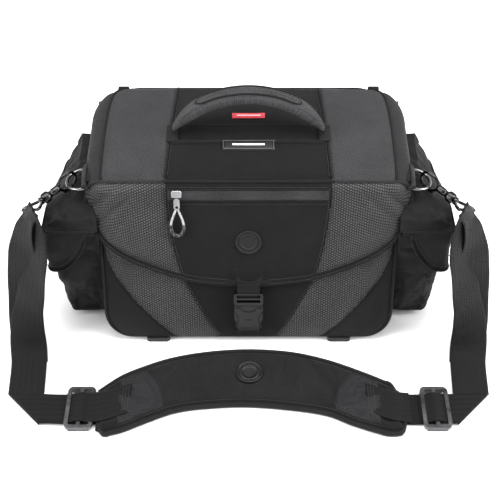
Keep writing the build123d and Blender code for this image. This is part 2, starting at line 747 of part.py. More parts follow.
with BuildPart() as buckle_socket:
    with BuildSketch(buckle_plane.offset(BUCKLE_LOW)):
        with BuildLine():
            Polyline(
                (-half_buckle, SOCKET_TOP),
                (half_buckle, SOCKET_TOP),
                (half_buckle, -8),
                (half_buckle - 3.4, SOCKET_BOTTOM + 4),
                (half_buckle - 6, SOCKET_BOTTOM),
                (-half_buckle + 6, SOCKET_BOTTOM),
                (-half_buckle + 3.4, SOCKET_BOTTOM + 4),
                (-half_buckle, -8),
                close=True,
            )
        make_face()
    extrude(amount=BUCKLE_DEEP)
    socket_top = buckle_socket.faces().sort_by(Axis(buckle_plane.origin, buckle_plane.z_dir))[-1]
    fillet(socket_top.edges(), radius=1.2)
    with BuildSketch(buckle_plane.offset(BUCKLE_LOW + CAVITY_LOW)):
        with Locations((0, (SOCKET_TOP + 2 - 13) / 2)):
            Rectangle(2 * CAVITY_HALF, SOCKET_TOP + 2 + 13)
    extrude(amount=CAVITY_DEEP, mode=Mode.SUBTRACT)
    with BuildSketch(buckle_plane.offset(BUCKLE_LOW + CAVITY_LOW)):
        with Locations((0, -6.5)):
            Rectangle(2 * half_buckle + 4, 10)
    extrude(amount=CAVITY_DEEP, mode=Mode.SUBTRACT)
save(buckle_socket.part, "buckle_socket")

ARM_FROM, ARM_TO, ARM_TIP = 8.4, 12.6, -11.0
ARM_PIVOT = 6.0
with BuildPart() as buckle_plug:
    with BuildSketch(buckle_plane.offset(BUCKLE_LOW)):
        with Locations((0, (SOCKET_TOP + 0.5 + PLUG_TOP) / 2)):
            RectangleRounded(BUCKLE_WIDTH, PLUG_TOP - SOCKET_TOP - 0.5, 2.5)
    extrude(amount=BUCKLE_DEEP - 0.4)
    with BuildSketch(buckle_plane.offset(BUCKLE_LOW - 0.1)):
        with Locations((0, 20)):
            Rectangle(26.4, 24)
    extrude(amount=2.1, mode=Mode.SUBTRACT)
    with BuildSketch(buckle_plane.offset(BUCKLE_LOW - 0.1)):
        with Locations((0, 13.6)):
            Rectangle(25.6, 3.2)
        with Locations((0, 19.4)):
            Rectangle(25.6, 3.6)
    extrude(amount=BUCKLE_DEEP, mode=Mode.SUBTRACT)
    with BuildSketch(buckle_plane.offset(BUCKLE_LOW + CAVITY_LOW + 0.5)):
        with Locations((0, -1.0)):
            Rectangle(6, 20)
        for side in (-1, 1):
            with Locations((side * (ARM_FROM + ARM_TO) / 2, SOCKET_TOP - 0.4)):
                Rectangle(ARM_TO - ARM_FROM, 2.6)
    extrude(amount=CAVITY_DEEP - 1.0)
save(buckle_plug.part, "buckle_plug")

for side, prong_name in ((-1, "prong_left"), (1, "prong_right")):
    with BuildPart() as prong:
        with BuildSketch(buckle_plane.offset(BUCKLE_LOW + CAVITY_LOW + 0.5)):
            with BuildLine():
                Polyline(
                    (side * ARM_FROM, ARM_PIVOT),
                    (side * ARM_TO, ARM_PIVOT),
                    (side * ARM_TO, -2),
                    (side * (ARM_TO + 0.7), -3),
                    (side * (ARM_TO + 0.7), -9),
                    (side * (ARM_TO - 2), ARM_TIP),
                    (side * ARM_FROM, ARM_TIP),
                    close=True,
                )
            make_face()
        extrude(amount=CAVITY_DEEP - 1.0)
    save(prong.part, prong_name)

with BuildPart() as buckle_strap:
    with BuildSketch(buckle_plane.offset(FLAP_GAP + FLAP_THICK + 0.15)):
        with Locations((0, 28)):
            Rectangle(STRAP_25, 30)
    extrude(amount=1.6)
save(buckle_strap.part, "buckle_strap")

with BuildPart() as socket_strap:
    with BuildSketch(buckle_plane.offset(0.1)):
        with Locations((0, -12)):
            Rectangle(STRAP_25, 34)
    extrude(amount=1.8)
    with BuildSketch(buckle_plane.offset(1.8)):
        with Locations((0, -24.6)):
            Rectangle(STRAP_25 - 5, 4)
    extrude(amount=8)
    with BuildSketch(buckle_plane.offset(1.8)):
        with Locations((0, -18)):
            Rectangle(STRAP_25 - 5, 10)
    extrude(amount=BUCKLE_LOW - 2.0)
save(socket_strap.part, "socket_strap")

# ---- carry handle -----------------------------------------------------------------------------------
lean = math.radians(HANDLE_LEAN)
handle_plane = Plane(
    origin=(0, at(HANDLE_Y), HANDLE_Z), x_dir=(1, 0, 0), z_dir=(0, -math.cos(lean), math.sin(lean))
)


def arch(inner, outer, half_angle, half_width):
    """A strip bent round the handle's arc."""
    turn = math.radians(half_angle)

    def on(radius, angle):
        return (radius * math.sin(angle), radius * math.cos(angle) - HANDLE_DROP)

    with BuildPart() as strip:
        with BuildSketch(handle_plane):
            with BuildLine():
                ThreePointArc(on(outer, -turn), on(outer, 0), on(outer, turn))
                Line(on(outer, turn), on(inner, turn))
                ThreePointArc(on(inner, turn), on(inner, 0), on(inner, -turn))
                Line(on(inner, -turn), on(outer, -turn))
            make_face()
        extrude(amount=half_width, both=True)
    return strip.part


with BuildPart() as handle_grip:
    add(arch(HANDLE_RADIUS - 5, HANDLE_RADIUS + 5, 38, 12))
    fillet(handle_grip.edges().filter_by(GeomType.CIRCLE), radius=4)
    add(arch(HANDLE_RADIUS - 1.6, HANDLE_RADIUS + 1.6, 44, 8.1), mode=Mode.SUBTRACT)
save(handle_grip.part, "handle_grip")

SLEEVE_X, SLEEVE_LONG, PIN = 76.0, 9.0, 1.6
with BuildPart() as handle_strap:
    add(arch(HANDLE_RADIUS - 1.5, HANDLE_RADIUS + 1.5, 52.6, 8))
    for side in (-1, 1):
        with Locations(Location((side * SLEEVE_X, at(HANDLE_Y), HANDLE_Z), (0, 90, 0))):
            Cylinder(4.2, SLEEVE_LONG)
            Cylinder(PIN + 0.08, SLEEVE_LONG + 10, mode=Mode.SUBTRACT)
save(handle_strap.part, "handle_strap")

with BuildPart() as handle_anchor:
    ground = crest(HANDLE_Y)
    with Locations((86.5, at(HANDLE_Y), (ground + HANDLE_Z + 4) / 2)):
        Box(9, 18, HANDLE_Z + 4 - ground)
    fillet(handle_anchor.edges().filter_by(Axis.X).group_by(Axis.Z)[-1], radius=3.5)
    with Locations(Location((78, at(HANDLE_Y), HANDLE_Z), (0, 90, 0))):
        Cylinder(PIN, 12)
    add(lid_top.part, mode=Mode.SUBTRACT)
save_pair(handle_anchor.part, "handle_anchor")
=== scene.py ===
"""Looks of the camera bag: soft panels, webbing, hardware, materials, light and camera.

Lengths in the modelling code are millimetres, with y measured back from the bag's front bottom
edge; place() turns them into the frame's metres.
"""

import math

import bpy
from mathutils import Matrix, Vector, noise


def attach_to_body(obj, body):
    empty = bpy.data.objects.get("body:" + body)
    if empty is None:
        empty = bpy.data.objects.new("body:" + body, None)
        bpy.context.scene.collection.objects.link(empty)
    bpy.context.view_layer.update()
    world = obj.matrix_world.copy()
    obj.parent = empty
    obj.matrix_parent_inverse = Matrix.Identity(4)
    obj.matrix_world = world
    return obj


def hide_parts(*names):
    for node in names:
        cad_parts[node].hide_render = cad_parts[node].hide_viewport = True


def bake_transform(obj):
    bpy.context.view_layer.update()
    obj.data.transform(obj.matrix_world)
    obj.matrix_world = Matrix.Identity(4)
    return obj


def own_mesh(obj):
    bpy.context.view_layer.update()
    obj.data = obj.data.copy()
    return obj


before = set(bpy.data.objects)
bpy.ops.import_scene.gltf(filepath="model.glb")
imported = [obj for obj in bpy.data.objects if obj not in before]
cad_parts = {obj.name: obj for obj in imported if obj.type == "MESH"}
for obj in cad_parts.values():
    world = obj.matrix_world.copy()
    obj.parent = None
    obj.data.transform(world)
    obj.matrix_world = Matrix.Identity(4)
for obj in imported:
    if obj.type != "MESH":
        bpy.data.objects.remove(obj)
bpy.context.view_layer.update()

FOOT_LINE = -33.0  # where the bag's front bottom edge lies in the frame
PI = math.pi
SIDES = ((-1, "left"), (1, "right"))
FACE_OUT = (0, -0.946, 0.324)  # straight out of the sloping front
FACE_UP = Vector((0, 0.324, 0.946))  # and up along it
OUT = Vector(FACE_OUT)


# ---- small geometry kit ----
def place(point):
    x, y, z = point
    return Vector((x, y + FOOT_LINE, z)) / 1000


def lerp(a, b, t):
    return a + (b - a) * t


def clamp(t, low=0.0, high=1.0):
    return max(low, min(high, t))


def smooth(t):
    t = clamp(t)
    return t * t * (3 - 2 * t)


def table(pairs):
    """A smooth function through (x, value) pairs."""

    def value(x):
        if x <= pairs[0][0]:
            return pairs[0][1]
        for i in range(len(pairs) - 1):
            (x0, y0), (x1, y1) = pairs[i], pairs[i + 1]
            if x <= x1:
                before = pairs[max(i - 1, 0)]
                after = pairs[min(i + 2, len(pairs) - 1)]
                m0 = (y1 - before[1]) / (x1 - before[0])
                m1 = (after[1] - y0) / (after[0] - x0)
                h, t = x1 - x0, (x - x0) / (x1 - x0)
                a, b = 2 * t**3 - 3 * t**2 + 1, t**3 - 2 * t**2 + t
                return a * y0 + b * h * m0 + (1 - a) * y1 + (t**3 - t**2) * h * m1
        return pairs[-1][1]

    return value


def bell(t):
    """0 at 0 and 1, 1 half way."""
    return math.sin(PI * t)


def inside(u, v, nu, nv):
    """0 on the edges of a sheet, 1 from 1/nu and 1/nv of it inwards."""
    return min(1, u * nu, (1 - u) * nu, v * nv, (1 - v) * nv)


def signed_power(value, power):
    return math.copysign(abs(value) ** power, value)


def heading(points, i):
    """The direction of a line of points at its point i."""
    return (points[min(i + 1, len(points) - 1)] - points[max(i - 1, 0)]).normalized()


def groove(distance, depth, width):
    return depth * math.exp(-((distance / width) ** 2))


def mirror(p, sign):
    """The point on the bag's left side for sign -1, on its right for 1."""
    return Vector((sign * p[0], p[1], p[2]))


def rumple(x, y, z, size, amount):
    return amount * noise.noise(Vector((x, y, z)) / size)


def chain(points, step):
    """Points about step apart along a smooth curve through the given ones."""
    points = [Vector(p) for p in points]
    dense = []
    for i in range(len(points) - 1):
        p0, p1 = points[max(i - 1, 0)], points[i]
        p2, p3 = points[i + 1], points[min(i + 2, len(points) - 1)]
        bend, turn = 2 * p0 - 5 * p1 + 4 * p2 - p3, 3 * p1 - p0 - 3 * p2 + p3
        pieces = max(2, int((p2 - p1).length / max(step / 2, 0.3)))
        for k in range(pieces):
            t = k / pieces
            dense.append(0.5 * (2 * p1 + (p2 - p0) * t + bend * t * t + turn * t**3))
    dense.append(points[-1])
    reached = [0.0]
    for a, b in zip(dense, dense[1:]):
        reached.append(reached[-1] + (b - a).length)
    count = max(2, round(reached[-1] / step))
    out, i = [], 0
    for k in range(count + 1):
        want = reached[-1] * k / count
        while i < len(dense) - 2 and reached[i + 1] < want:
            i += 1
        run = max(reached[i + 1] - reached[i], 1e-9)
        out.append(dense[i].lerp(dense[i + 1], clamp((want - reached[i]) / run)))
    return out


def new_object(name, verts, faces, mats, uvs=None, indices=None):
    mesh = bpy.data.meshes.new(name)
    mesh.from_pydata([place(v) for v in verts], [], faces)
    if uvs:
        layer = mesh.uv_layers.new(name="UVMap")
        for loop in mesh.loops:
            layer.data[loop.index].uv = uvs[loop.vertex_index]
    for mat in mats:
        mesh.materials.append(mat)
    if indices:
        mesh.polygons.foreach_set("material_index", indices)
    mesh.polygons.foreach_set("use_smooth", [True] * len(mesh.polygons))
    mesh.update()
    piece = bpy.data.objects.new(name, mesh)
    bpy.context.scene.collection.objects.link(piece)
    return piece


def modify(piece, kind, **settings):
    """Adds a modifier and applies it at once."""
    modifier = piece.modifiers.new(kind, kind)
    for key, value in settings.items():
        setattr(modifier, key, value)
    graph = bpy.context.evaluated_depsgraph_get()
    mesh = bpy.data.meshes.new_from_object(piece.evaluated_get(graph))
    piece.modifiers.clear()
    old, piece.data = piece.data, mesh
    bpy.data.meshes.remove(old)
    return piece


CLOTH_FRAMES = 20


def billow(piece, sewn, pressure, cap):
    """Cloth under pressure: the sheet swells and creases between its sewn points, at most cap mm."""
    scene = bpy.context.scene
    mesh = piece.data
    start = [v.co.copy() for v in mesh.vertices]
    piece.vertex_groups.new(name="sewn").add(sewn, 1.0, "REPLACE")
    modifier = piece.modifiers.new("Cloth", "CLOTH")
    settings = modifier.settings
    settings.quality = 6
    settings.mass = 0.2
    settings.tension_stiffness = settings.compression_stiffness = 15
    settings.shear_stiffness = 5
    settings.bending_stiffness = 0.4
    settings.shrink_min = -0.035
    settings.use_pressure = True
    settings.uniform_pressure_force = pressure
    settings.vertex_group_mass = "sewn"
    settings.effector_weights.gravity = 0
    modifier.collision_settings.use_collision = False
    modifier.point_cache.frame_start, modifier.point_cache.frame_end = 1, CLOTH_FRAMES
    for frame_number in range(1, CLOTH_FRAMES + 1):
        scene.frame_set(frame_number)
    shaped = piece.evaluated_get(bpy.context.evaluated_depsgraph_get()).to_mesh()
    moved = [v.co.copy() for v in shaped.vertices]
    piece.modifiers.remove(modifier)
    scene.frame_set(1)
    for vertex, before, after in zip(mesh.vertices, start, moved):
        step = after - before
        vertex.co = before + step * min(1, cap / 1000 / max(step.length, 1e-9))
    mesh.update()
    piece.vertex_groups.clear()


def surface(name, fn, nu, nv, mats, region=None, thick=0.0, closed=False, offset=-1, swell=None):
    """A sheet of points fn(u, v); its UVs are its own lengths in centimetres.

    swell is (sewn(u, v), pressure, cap) where the sheet gets its own cloth simulation.
    """
    span = nu if closed else nu - 1
    rows = [[Vector(fn(i / span, j / (nv - 1))) for j in range(nv)] for i in range(nu)]
    flat = {}
    for j in range(nv):
        run = [0.0]
        for i in range(nu - 1):
            run.append(run[-1] + (rows[i + 1][j] - rows[i][j]).length)
        for i in range(nu):
            flat[i, j] = [(run[i] - run[nu // 2]) / 10, 0]
    for i in range(nu):
        run = [0.0]
        for j in range(nv - 1):
            run.append(run[-1] + (rows[i][j + 1] - rows[i][j]).length)
        for j in range(nv):
            flat[i, j][1] = (run[j] - run[nv // 2]) / 10
    verts = [rows[i][j] for i in range(nu) for j in range(nv)]
    uvs = [flat[i, j] for i in range(nu) for j in range(nv)]
    faces, indices = [], []
    for i in range(nu if closed else nu - 1):
        for j in range(nv - 1):
            k = (i + 1) % nu
            faces.append((i * nv + j, k * nv + j, k * nv + j + 1, i * nv + j + 1))
            middle = (rows[i][j] + rows[k][j + 1]) / 2
            indices.append(region(middle) if region else 0)
    piece = new_object(name, verts, faces, mats, uvs, indices)
    if swell:
        sewn = [i * nv + j for i in range(nu) for j in range(nv) if swell[0](i / span, j / (nv - 1))]
        billow(piece, sewn, *swell[1:])
    if thick:
        modify(piece, "SOLIDIFY", thickness=thick / 1000, offset=offset, use_even_offset=False)
    return piece


def tube_faces(count, sides, closed=False):
    """Faces of a tube of count rings, with caps unless it is closed on itself."""
    faces = []
    for i in range(count if closed else count - 1):
        n = (i + 1) % count
        for k in range(sides):
            m = (k + 1) % sides
            faces.append((i * sides + k, i * sides + m, n * sides + m, n * sides + k))
    if not closed:
        faces.append(tuple(reversed(range(sides))))
        faces.append(tuple(range((count - 1) * sides, count * sides)))
    return faces


def sweep(name, centres, wides, half_wide, half_thick, mat, sides=16, power=2.0, closed=False):
    """A bar or strap along centres; wides points across it; half sizes may be lists."""
    count = len(centres)
    verts, uvs, run = [], [], 0.0
    for i, centre in enumerate(centres):
        centre = Vector(centre)
        before = Vector(centres[i - 1 if closed or i else 0])
        after = Vector(centres[(i + 1) % count if closed else min(i + 1, count - 1)])
        along = (after - before).normalized()
        wide = Vector(wides[i] if isinstance(wides, list) else wides)
        wide = (wide - along * wide.dot(along)).normalized()
        up = along.cross(wide)
        hw = half_wide[i] if isinstance(half_wide, list) else half_wide
        ht = half_thick[i] if isinstance(half_thick, list) else half_thick
        if i:
            run += (centre - Vector(centres[i - 1])).length
        for k in range(sides):
            angle = 2 * PI * k / sides
            c, s = math.cos(angle), math.sin(angle)
            a = signed_power(c, 2 / power)
            b = signed_power(s, 2 / power)
            verts.append(centre + wide * hw * a + up * ht * b)
            uvs.append((hw * a / 10, run / 10))
    return new_object(name, verts, tube_faces(count, sides, closed), [mat], uvs)


def wire(name, points, radius, mat, step=1.5, closed=False, sides=12):
    """Round wire or piping through the points."""
    centres = chain([*points, points[0]] if closed else points, step)
    if closed:
        centres.pop()
    wides = []
    wide = Vector((0, 0, 1))
    for i in range(len(centres)):
        along = (centres[(i + 1) % len(centres)] - centres[i - 1 if i or closed else 0]).normalized()
        if abs(wide.dot(along)) > 0.95:
            wide = Vector((1, 0, 0)) if abs(along.x) < 0.8 else Vector((0, 1, 0))
        wide = (wide - along * wide.dot(along)).normalized()
        wides.append(wide.copy())
    return sweep(name, centres, wides, radius, radius, mat, sides, closed=closed)


def stitches(name, points, normals, body, slot="outer_nylon", pitch=3.0, length=2.2):
    """A row of thread dashes laid on a seam; normals is one vector or one per given point."""
    sides, high, wide = 6, 0.4, 0.5
    shape = ((-0.5, 0.5), (-0.32, 1.0), (0.32, 1.0), (0.5, 0.5))  # along the dash, and its size there
    verts, faces = [], []
    centres = chain(points, pitch)
    for i, centre in enumerate(centres[1:-1], 1):
        along = (centres[i + 1] - centres[i - 1]).normalized()
        if isinstance(normals, list):
            spot = i / (len(centres) - 1) * (len(normals) - 1)
            low = min(int(spot), len(normals) - 2)
            normal = Vector(normals[low]).lerp(Vector(normals[low + 1]), spot - low)
        else:
            normal = Vector(normals)
        side = along.cross(normal).normalized()
        up = side.cross(along).normalized()
        base = len(verts)
        for t, size in shape:
            for k in range(sides):
                angle = 2 * PI * k / sides
                ring = side * math.cos(angle) * wide * size + up * math.sin(angle) * high * size
                verts.append(centre + along * t * length + ring)
        faces += [tuple(base + k for k in face) for face in tube_faces(len(shape), sides)]
    return attach(new_object(name, verts, faces, [THREAD]), body, slot)


def attach(piece, body, slot="outer_nylon", *replaced):
    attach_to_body(piece, body)
    if replaced:
        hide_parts(*replaced)
    return piece


# ---- materials ----
class Nodes:
    """Shorthand for a material's node tree."""

    def __init__(self, name, source):
        self.mat = bpy.data.materials.new(name)
        self.mat.use_nodes = True
        self.tree = self.mat.node_tree
        self.shader = self.tree.nodes["Principled BSDF"]
        coords = self.add("ShaderNodeTexCoord")
        self.space = self.add("ShaderNodeMapping")
        scale = 10.0 if source == "UV" else 1000.0
        self.space.inputs["Scale"].default_value = (scale, scale, scale)
        self.link(coords.outputs[source], self.space.inputs["Vector"])
        split = self.add("ShaderNodeSeparateXYZ")
        self.link(self.space.outputs[0], split.inputs[0])
        self.x, self.y, self.z = split.outputs

    def add(self, kind, **settings):
        node = self.tree.nodes.new(kind)
        for key, value in settings.items():
            setattr(node, key, value)
        return node

    def link(self, a, b):
        self.tree.links.new(a, b)

    def math(self, operation, *values):
        node = self.add("ShaderNodeMath", operation=operation)
        for i, value in enumerate(values):
            if isinstance(value, (int, float)):
                node.inputs[i].default_value = value
            else:
                self.link(value, node.inputs[i])
        return node.outputs[0]

    def wave(self, a, b, pitch):
        """cos of the distance a*x + b*y, once every pitch mm."""
        k = 2 * PI / pitch
        total = self.math("MULTIPLY_ADD", self.x, a * k, self.math("MULTIPLY_ADD", self.y, b * k, 0.0))
        return self.math("COSINE", total)

    def noise(self, size, detail=2.0, rough=0.5):
        node = self.add("ShaderNodeTexNoise")
        node.inputs["Scale"].default_value = 1 / size
        node.inputs["Detail"].default_value = detail
        node.inputs["Roughness"].default_value = rough
        self.link(self.space.outputs[0], node.inputs["Vector"])
        return node.outputs["Fac"]

    def span(self, value, a, b, low=0.0, high=1.0):
        node = self.add("ShaderNodeMapRange")
        self.link(value, node.inputs["Value"])
        for key, number in (("From Min", a), ("From Max", b), ("To Min", low), ("To Max", high)):
            node.inputs[key].default_value = number
        return node.outputs[0]

    def ramp(self, value, stops):
        node = self.add("ShaderNodeValToRGB")
        ramp = node.color_ramp
        while len(ramp.elements) < len(stops):
            ramp.elements.new(0.5)
        for element, (spot, colour) in zip(ramp.elements, stops):
            element.position = spot
            element.color = (*colour, 1)
        self.link(value, node.inputs["Fac"])
        return node.outputs["Color"]

    def bump(self, height, distance_mm, strength=1.0, after=None):
        node = self.add("ShaderNodeBump")
        node.inputs["Distance"].default_value = distance_mm / 1000
        node.inputs["Strength"].default_value = strength
        self.link(height, node.inputs["Height"])
        if after:
            self.link(after, node.inputs["Normal"])
        return node.outputs[0]


def cloth(
    name, dark, light, pattern, height, rough=(0.6, 0.85), sheen=0.04, source="UV",
    mottle=40.0, gloss=0.13, weave_shade=0.6,
):
    """Woven cloth: pattern(nodes) gives 0..1 thread height; painted shade darkens the low threads and a painted
    highlight lightens the high ones.

    height is the relief in mm, rough the lowest and highest roughness, mottle the size of the worn
    patches in mm, weave how strongly the painted shade and highlight of the threads show in the colour.
    """
    n = Nodes(name, source)
    thread = pattern(n)
    patches = n.noise(mottle, 4.0, 0.6)
    fuzz = n.noise(0.9, 3.0, 0.7)
    heather = n.noise(2.3, 2.0, 0.5)
    # painted shade in the cloth's low threads and painted highlight on its high ones; fuzz, patches and heather
    # are the cloth's own tone
    shade = n.math("MULTIPLY_ADD", fuzz, 0.3, n.math("MULTIPLY", thread, weave_shade))
    shade = n.math("MULTIPLY_ADD", patches, 0.4, shade)
    shade = n.math("MULTIPLY_ADD", heather, 0.8, shade)
    middle = 0.72 + weave_shade / 2
    shade = n.span(shade, middle - 0.4, middle + 0.4)
    n.link(n.ramp(shade, [(0.0, dark), (1.0, light)]), n.shader.inputs["Base Color"])
    n.link(n.span(n.math("ADD", fuzz, patches), 0.7, 1.3, rough[1], rough[0]), n.shader.inputs["Roughness"])
    fine = n.bump(fuzz, 0.12, 0.6)
    n.link(n.bump(thread, height, 1.0, fine), n.shader.inputs["Normal"])
    n.shader.inputs["Sheen Weight"].default_value = sheen
    n.shader.inputs["Sheen Roughness"].default_value = 0.45
    n.shader.inputs["Specular IOR Level"].default_value = gloss
    return n.mat


def plain_weave(pitch):
    def pattern(n):
        return n.span(n.math("MULTIPLY", n.wave(1, 0, pitch), n.wave(0, 1, pitch)), -1, 1)

    return pattern


def twill(pitch):
    def pattern(n):
        lines = n.wave(0.82, 0.57, pitch)
        cross = n.wave(0.57, -0.82, pitch * 0.9)
        return n.span(n.math("MULTIPLY_ADD", cross, 0.35, lines), -1.35, 1.35)

    return pattern


def honeycomb(pitch):
    def pattern(n):
        total = n.wave(1, 0, pitch * 0.866)
        for turn in (60, 120):
            a = math.radians(turn)
            total = n.math("ADD", total, n.wave(math.cos(a), math.sin(a), pitch * 0.866))
        return n.span(total, -1.5, 2.6)

    return pattern


def ribbed(pitch, columns):
    """Webbing: short cross ribs, alternating in slope from one column to the next."""

    def pattern(n):
        zigzag = n.math("PINGPONG", n.x, columns)
        along = n.math("MULTIPLY_ADD", zigzag, 0.8, n.y)
        rib = n.math("COSINE", n.math("MULTIPLY", along, 2 * PI / pitch))
        edge = n.math("COSINE", n.math("MULTIPLY", n.x, 2 * PI / columns))
        return n.span(n.math("MULTIPLY_ADD", edge, 0.4, rib), -1.4, 1.4)

    return pattern


def solid(name, colour, rough, metal=0.0, grain=(0.4, 0.05), wear=None):
    """Moulded plastic, rubber or metal; grain is its size and depth in mm, wear the high spots' colour."""
    n = Nodes(name, "Object")
    fine = n.noise(grain[0], 3.0, 0.6)
    broad = n.noise(12.0, 4.0, 0.55)
    low = tuple(c * 0.75 for c in colour)
    high = wear or tuple(min(1, c * 1.25) for c in colour)
    shade = n.span(n.math("ADD", fine, broad), 0.65, 1.35)
    n.link(n.ramp(shade, [(0, low), (1, high)]), n.shader.inputs["Base Color"])
    n.link(n.span(broad, 0.3, 0.7, rough * 0.8, rough * 1.2), n.shader.inputs["Roughness"])
    n.link(n.bump(fine, grain[1], 0.7), n.shader.inputs["Normal"])
    n.shader.inputs["Metallic"].default_value = metal
    n.shader.inputs["Specular IOR Level"].default_value = 0.5 if metal else 0.28
    return n.mat


INK = (0.004, 0.004, 0.0045)
# Every cloth below has painted shade in its low threads and a painted highlight on its high ones.
NYLON = cloth("nylon", INK, (0.0088, 0.0088, 0.0092), plain_weave(1.4), 0.45, weave_shade=1.0)
NYLON_SOFT = cloth("nylon_soft", INK, (0.0155, 0.0155, 0.0162), plain_weave(1.5), 0.4, mottle=25, weave_shade=0.9)
TWILL = cloth("twill", (0.008, 0.008, 0.009), (0.046, 0.046, 0.048), twill(2.0), 0.35, (0.5, 0.75), weave_shade=1.0)
# painted highlight: the same nylon as the lid, made lighter for the side skirts and the flap's top corners to
# stand for the highlight that falls on them
NYLON_HIGHLIT = cloth("gusset", (0.005, 0.005, 0.0055), (0.030, 0.030, 0.0315), plain_weave(1.2), 0.4, (0.45, 0.65))
COMB = cloth("honeycomb", INK, (0.064, 0.064, 0.0665), honeycomb(3.0), 0.6, (0.34, 0.5), gloss=0.3, weave_shade=1.3)
WEBBING = cloth("webbing", INK, (0.0055, 0.0055, 0.006), ribbed(2.6, 3.4), 0.5, (0.5, 0.7))
BINDING = cloth("binding", (0.003, 0.003, 0.0035), (0.011, 0.011, 0.0115), twill(1.5), 0.3, (0.5, 0.7))
PAD_CLOTH = cloth("pad_cloth", (0.005, 0.005, 0.0055), (0.026, 0.026, 0.028), honeycomb(2.4), 0.4, (0.5, 0.7))
MESH_CLOTH = cloth(
    "pad_mesh", (0.003, 0.003, 0.0035), (0.0145, 0.0145, 0.0155), honeycomb(1.8), 0.4, (0.6, 0.85)
)
CORDUROY = cloth("corduroy", INK, (0.06, 0.06, 0.0625), ribbed(2.2, 60), 0.6, (0.5, 0.7))
ZIP_COIL = cloth("zip_coil", (0.006, 0.006, 0.0065), (0.045, 0.045, 0.047), ribbed(1.3, 60), 0.6, (0.3, 0.5))
LINING = cloth("lining", (0.16, 0.165, 0.18), (0.34, 0.35, 0.37), plain_weave(1.4), 0.2, (0.8, 0.95), 0.5)
THREAD = cloth("thread", (0.004, 0.004, 0.004), (0.05, 0.05, 0.052), twill(0.8), 0.1, (0.4, 0.6), 0.0, "Object")
BLACK_PLASTIC = solid("black_plastic", (0.004, 0.004, 0.0044), 0.2, grain=(0.5, 0.03))
BLACK_RUBBER = solid("black_rubber", (0.006, 0.006, 0.0065), 0.45, grain=(0.7, 0.12))
DARK_METAL = solid(
    "dark_metal", (0.016, 0.016, 0.017), 0.2, metal=1.0, grain=(0.3, 0.02), wear=(0.07, 0.07, 0.072)
)
RING_METAL = solid(
    "ring_metal", (0.16, 0.16, 0.165), 0.2, metal=1.0, grain=(0.3, 0.02), wear=(0.34, 0.34, 0.35)
)
BRIGHT_METAL = solid("bright_metal", (0.42, 0.42, 0.43), 0.22, metal=1.0, grain=(0.3, 0.02))
RED = cloth(
    "red_cloth", (0.46, 0.03, 0.045), (0.72, 0.09, 0.12), plain_weave(0.9), 0.15, (0.6, 0.8), 0.1, "Object"
)
CORD_FLECK = cloth("cord_fleck", INK, (0.11, 0.11, 0.11), honeycomb(3.4), 0.3, (0.5, 0.7), 0.1, "Object")
CORD_CLOTH = cloth(
    "cord_cloth", (0.18, 0.18, 0.18), (0.62, 0.62, 0.61), honeycomb(1.5), 0.3, (0.6, 0.8), 0.1, "Object"
)
GLIDE_METAL = solid(
    "glide_metal", (0.035, 0.035, 0.037), 0.3, metal=0.9, grain=(0.3, 0.02), wear=(0.16, 0.16, 0.165)
)
GREY_PRINT = solid("grey_print", (0.12, 0.12, 0.12), 0.5)
WHITE_PRINT = solid("white_print", (0.8, 0.8, 0.8), 0.5)
BOARD = solid("board", (0.02, 0.02, 0.021), 0.7, grain=(1.2, 0.2))

# ---- shared shapes ----
HALF = 160.0  # half the body's width
CORNER = 30.0  # radius of the front and back panels' bottom corners
BOTTOM = 6.0  # height of the base over the floor
BACK = 185.0  # y of the back panel


def front_y(z):
    """The sloping face of the front pocket."""
    return 3 + 0.343 * (z - 8)


def wall_y(z):
    """The front wall of the compartment."""
    return 36 + 0.16 * (z - BOTTOM)


def rim(y):
    """Height of the compartment's rim."""
    return lerp(178, 200, clamp((y - 63.5) / (BACK - 63.5)))


# height of the lid along y
crest = table([(56, 187.5), (62, 190.5), (82, 199.5), (108, 207), (150, 214.5), (180, 217), (188, 216)])


def panel_half(z):
    """Half width at height z of a panel with rounded bottom corners."""
    if z >= BOTTOM + CORNER:
        return HALF
    return HALF - CORNER + math.sqrt(max(0.0, CORNER**2 - (BOTTOM + CORNER - z) ** 2))


# ---- body ----
def gusset_point(u, v):
    straight, arc, flat = 150.0, CORNER * PI / 2, HALF - CORNER
    half_length = straight + arc + flat
    s = (u * 2 - 1) * half_length
    sign, s = (1 if s >= 0 else -1), abs(s)
    if s < flat:
        x, z, out = s, BOTTOM, (0, -1)
    elif s < flat + arc:
        a = (s - flat) / CORNER
        x, z = flat + CORNER * math.sin(a), BOTTOM + CORNER * (1 - math.cos(a))
        out = (math.sin(a), -math.cos(a))
    else:
        x, z, out = HALF, 0, (1, 0)
    front = wall_y(max(z, BOTTOM)) + 1
    y = lerp(front, BACK - 1, v)
    if s >= flat + arc:
        z = lerp(BOTTOM + CORNER, rim(y) - 1.5, (s - flat - arc) / straight)
        y = lerp(wall_y(z) + 1, BACK - 1, v)
    puff = bell(v) * (1.4 if out[1] < -0.5 else 0.9)
    puff += rumple(x, y, z, 38, 0.7) * bell(v)
    if out[1] < -0.5:
        puff = -0.6 * bell(v)
    return sign * (x + out[0] * puff - out[0] * 0.6), y, z + out[1] * puff * 0.5 + 0.3


gusset = surface("gusset", gusset_point, 150, 34, [NYLON], thick=7.5)
attach(gusset, "bag", "textured_nylon", "side_panel_left", "side_panel_right", "base_panel")


def wall_point(y_of, top, bulge, facing):
    def point(u, v):
        z = lerp(BOTTOM + 0.4, top - 1.5, v)
        x = (2 * u - 1) * (panel_half(z) - 0.6)
        edge = min(1.0, (panel_half(z) - abs(x)) / 26, (z - BOTTOM) / 26, (top - z) / 14)
        puff = bulge * smooth(edge) + rumple(x, 0, z, 45, 0.6) * edge
        return x, y_of(z) + facing * puff, z

    return point


back_point = wall_point(lambda z: BACK - 0.5, 200, 2.6, 1)
back_wall = surface("back_wall", back_point, 100, 60, [NYLON], thick=8, offset=1)
attach(back_wall, "bag", "outer_nylon", "back_panel")


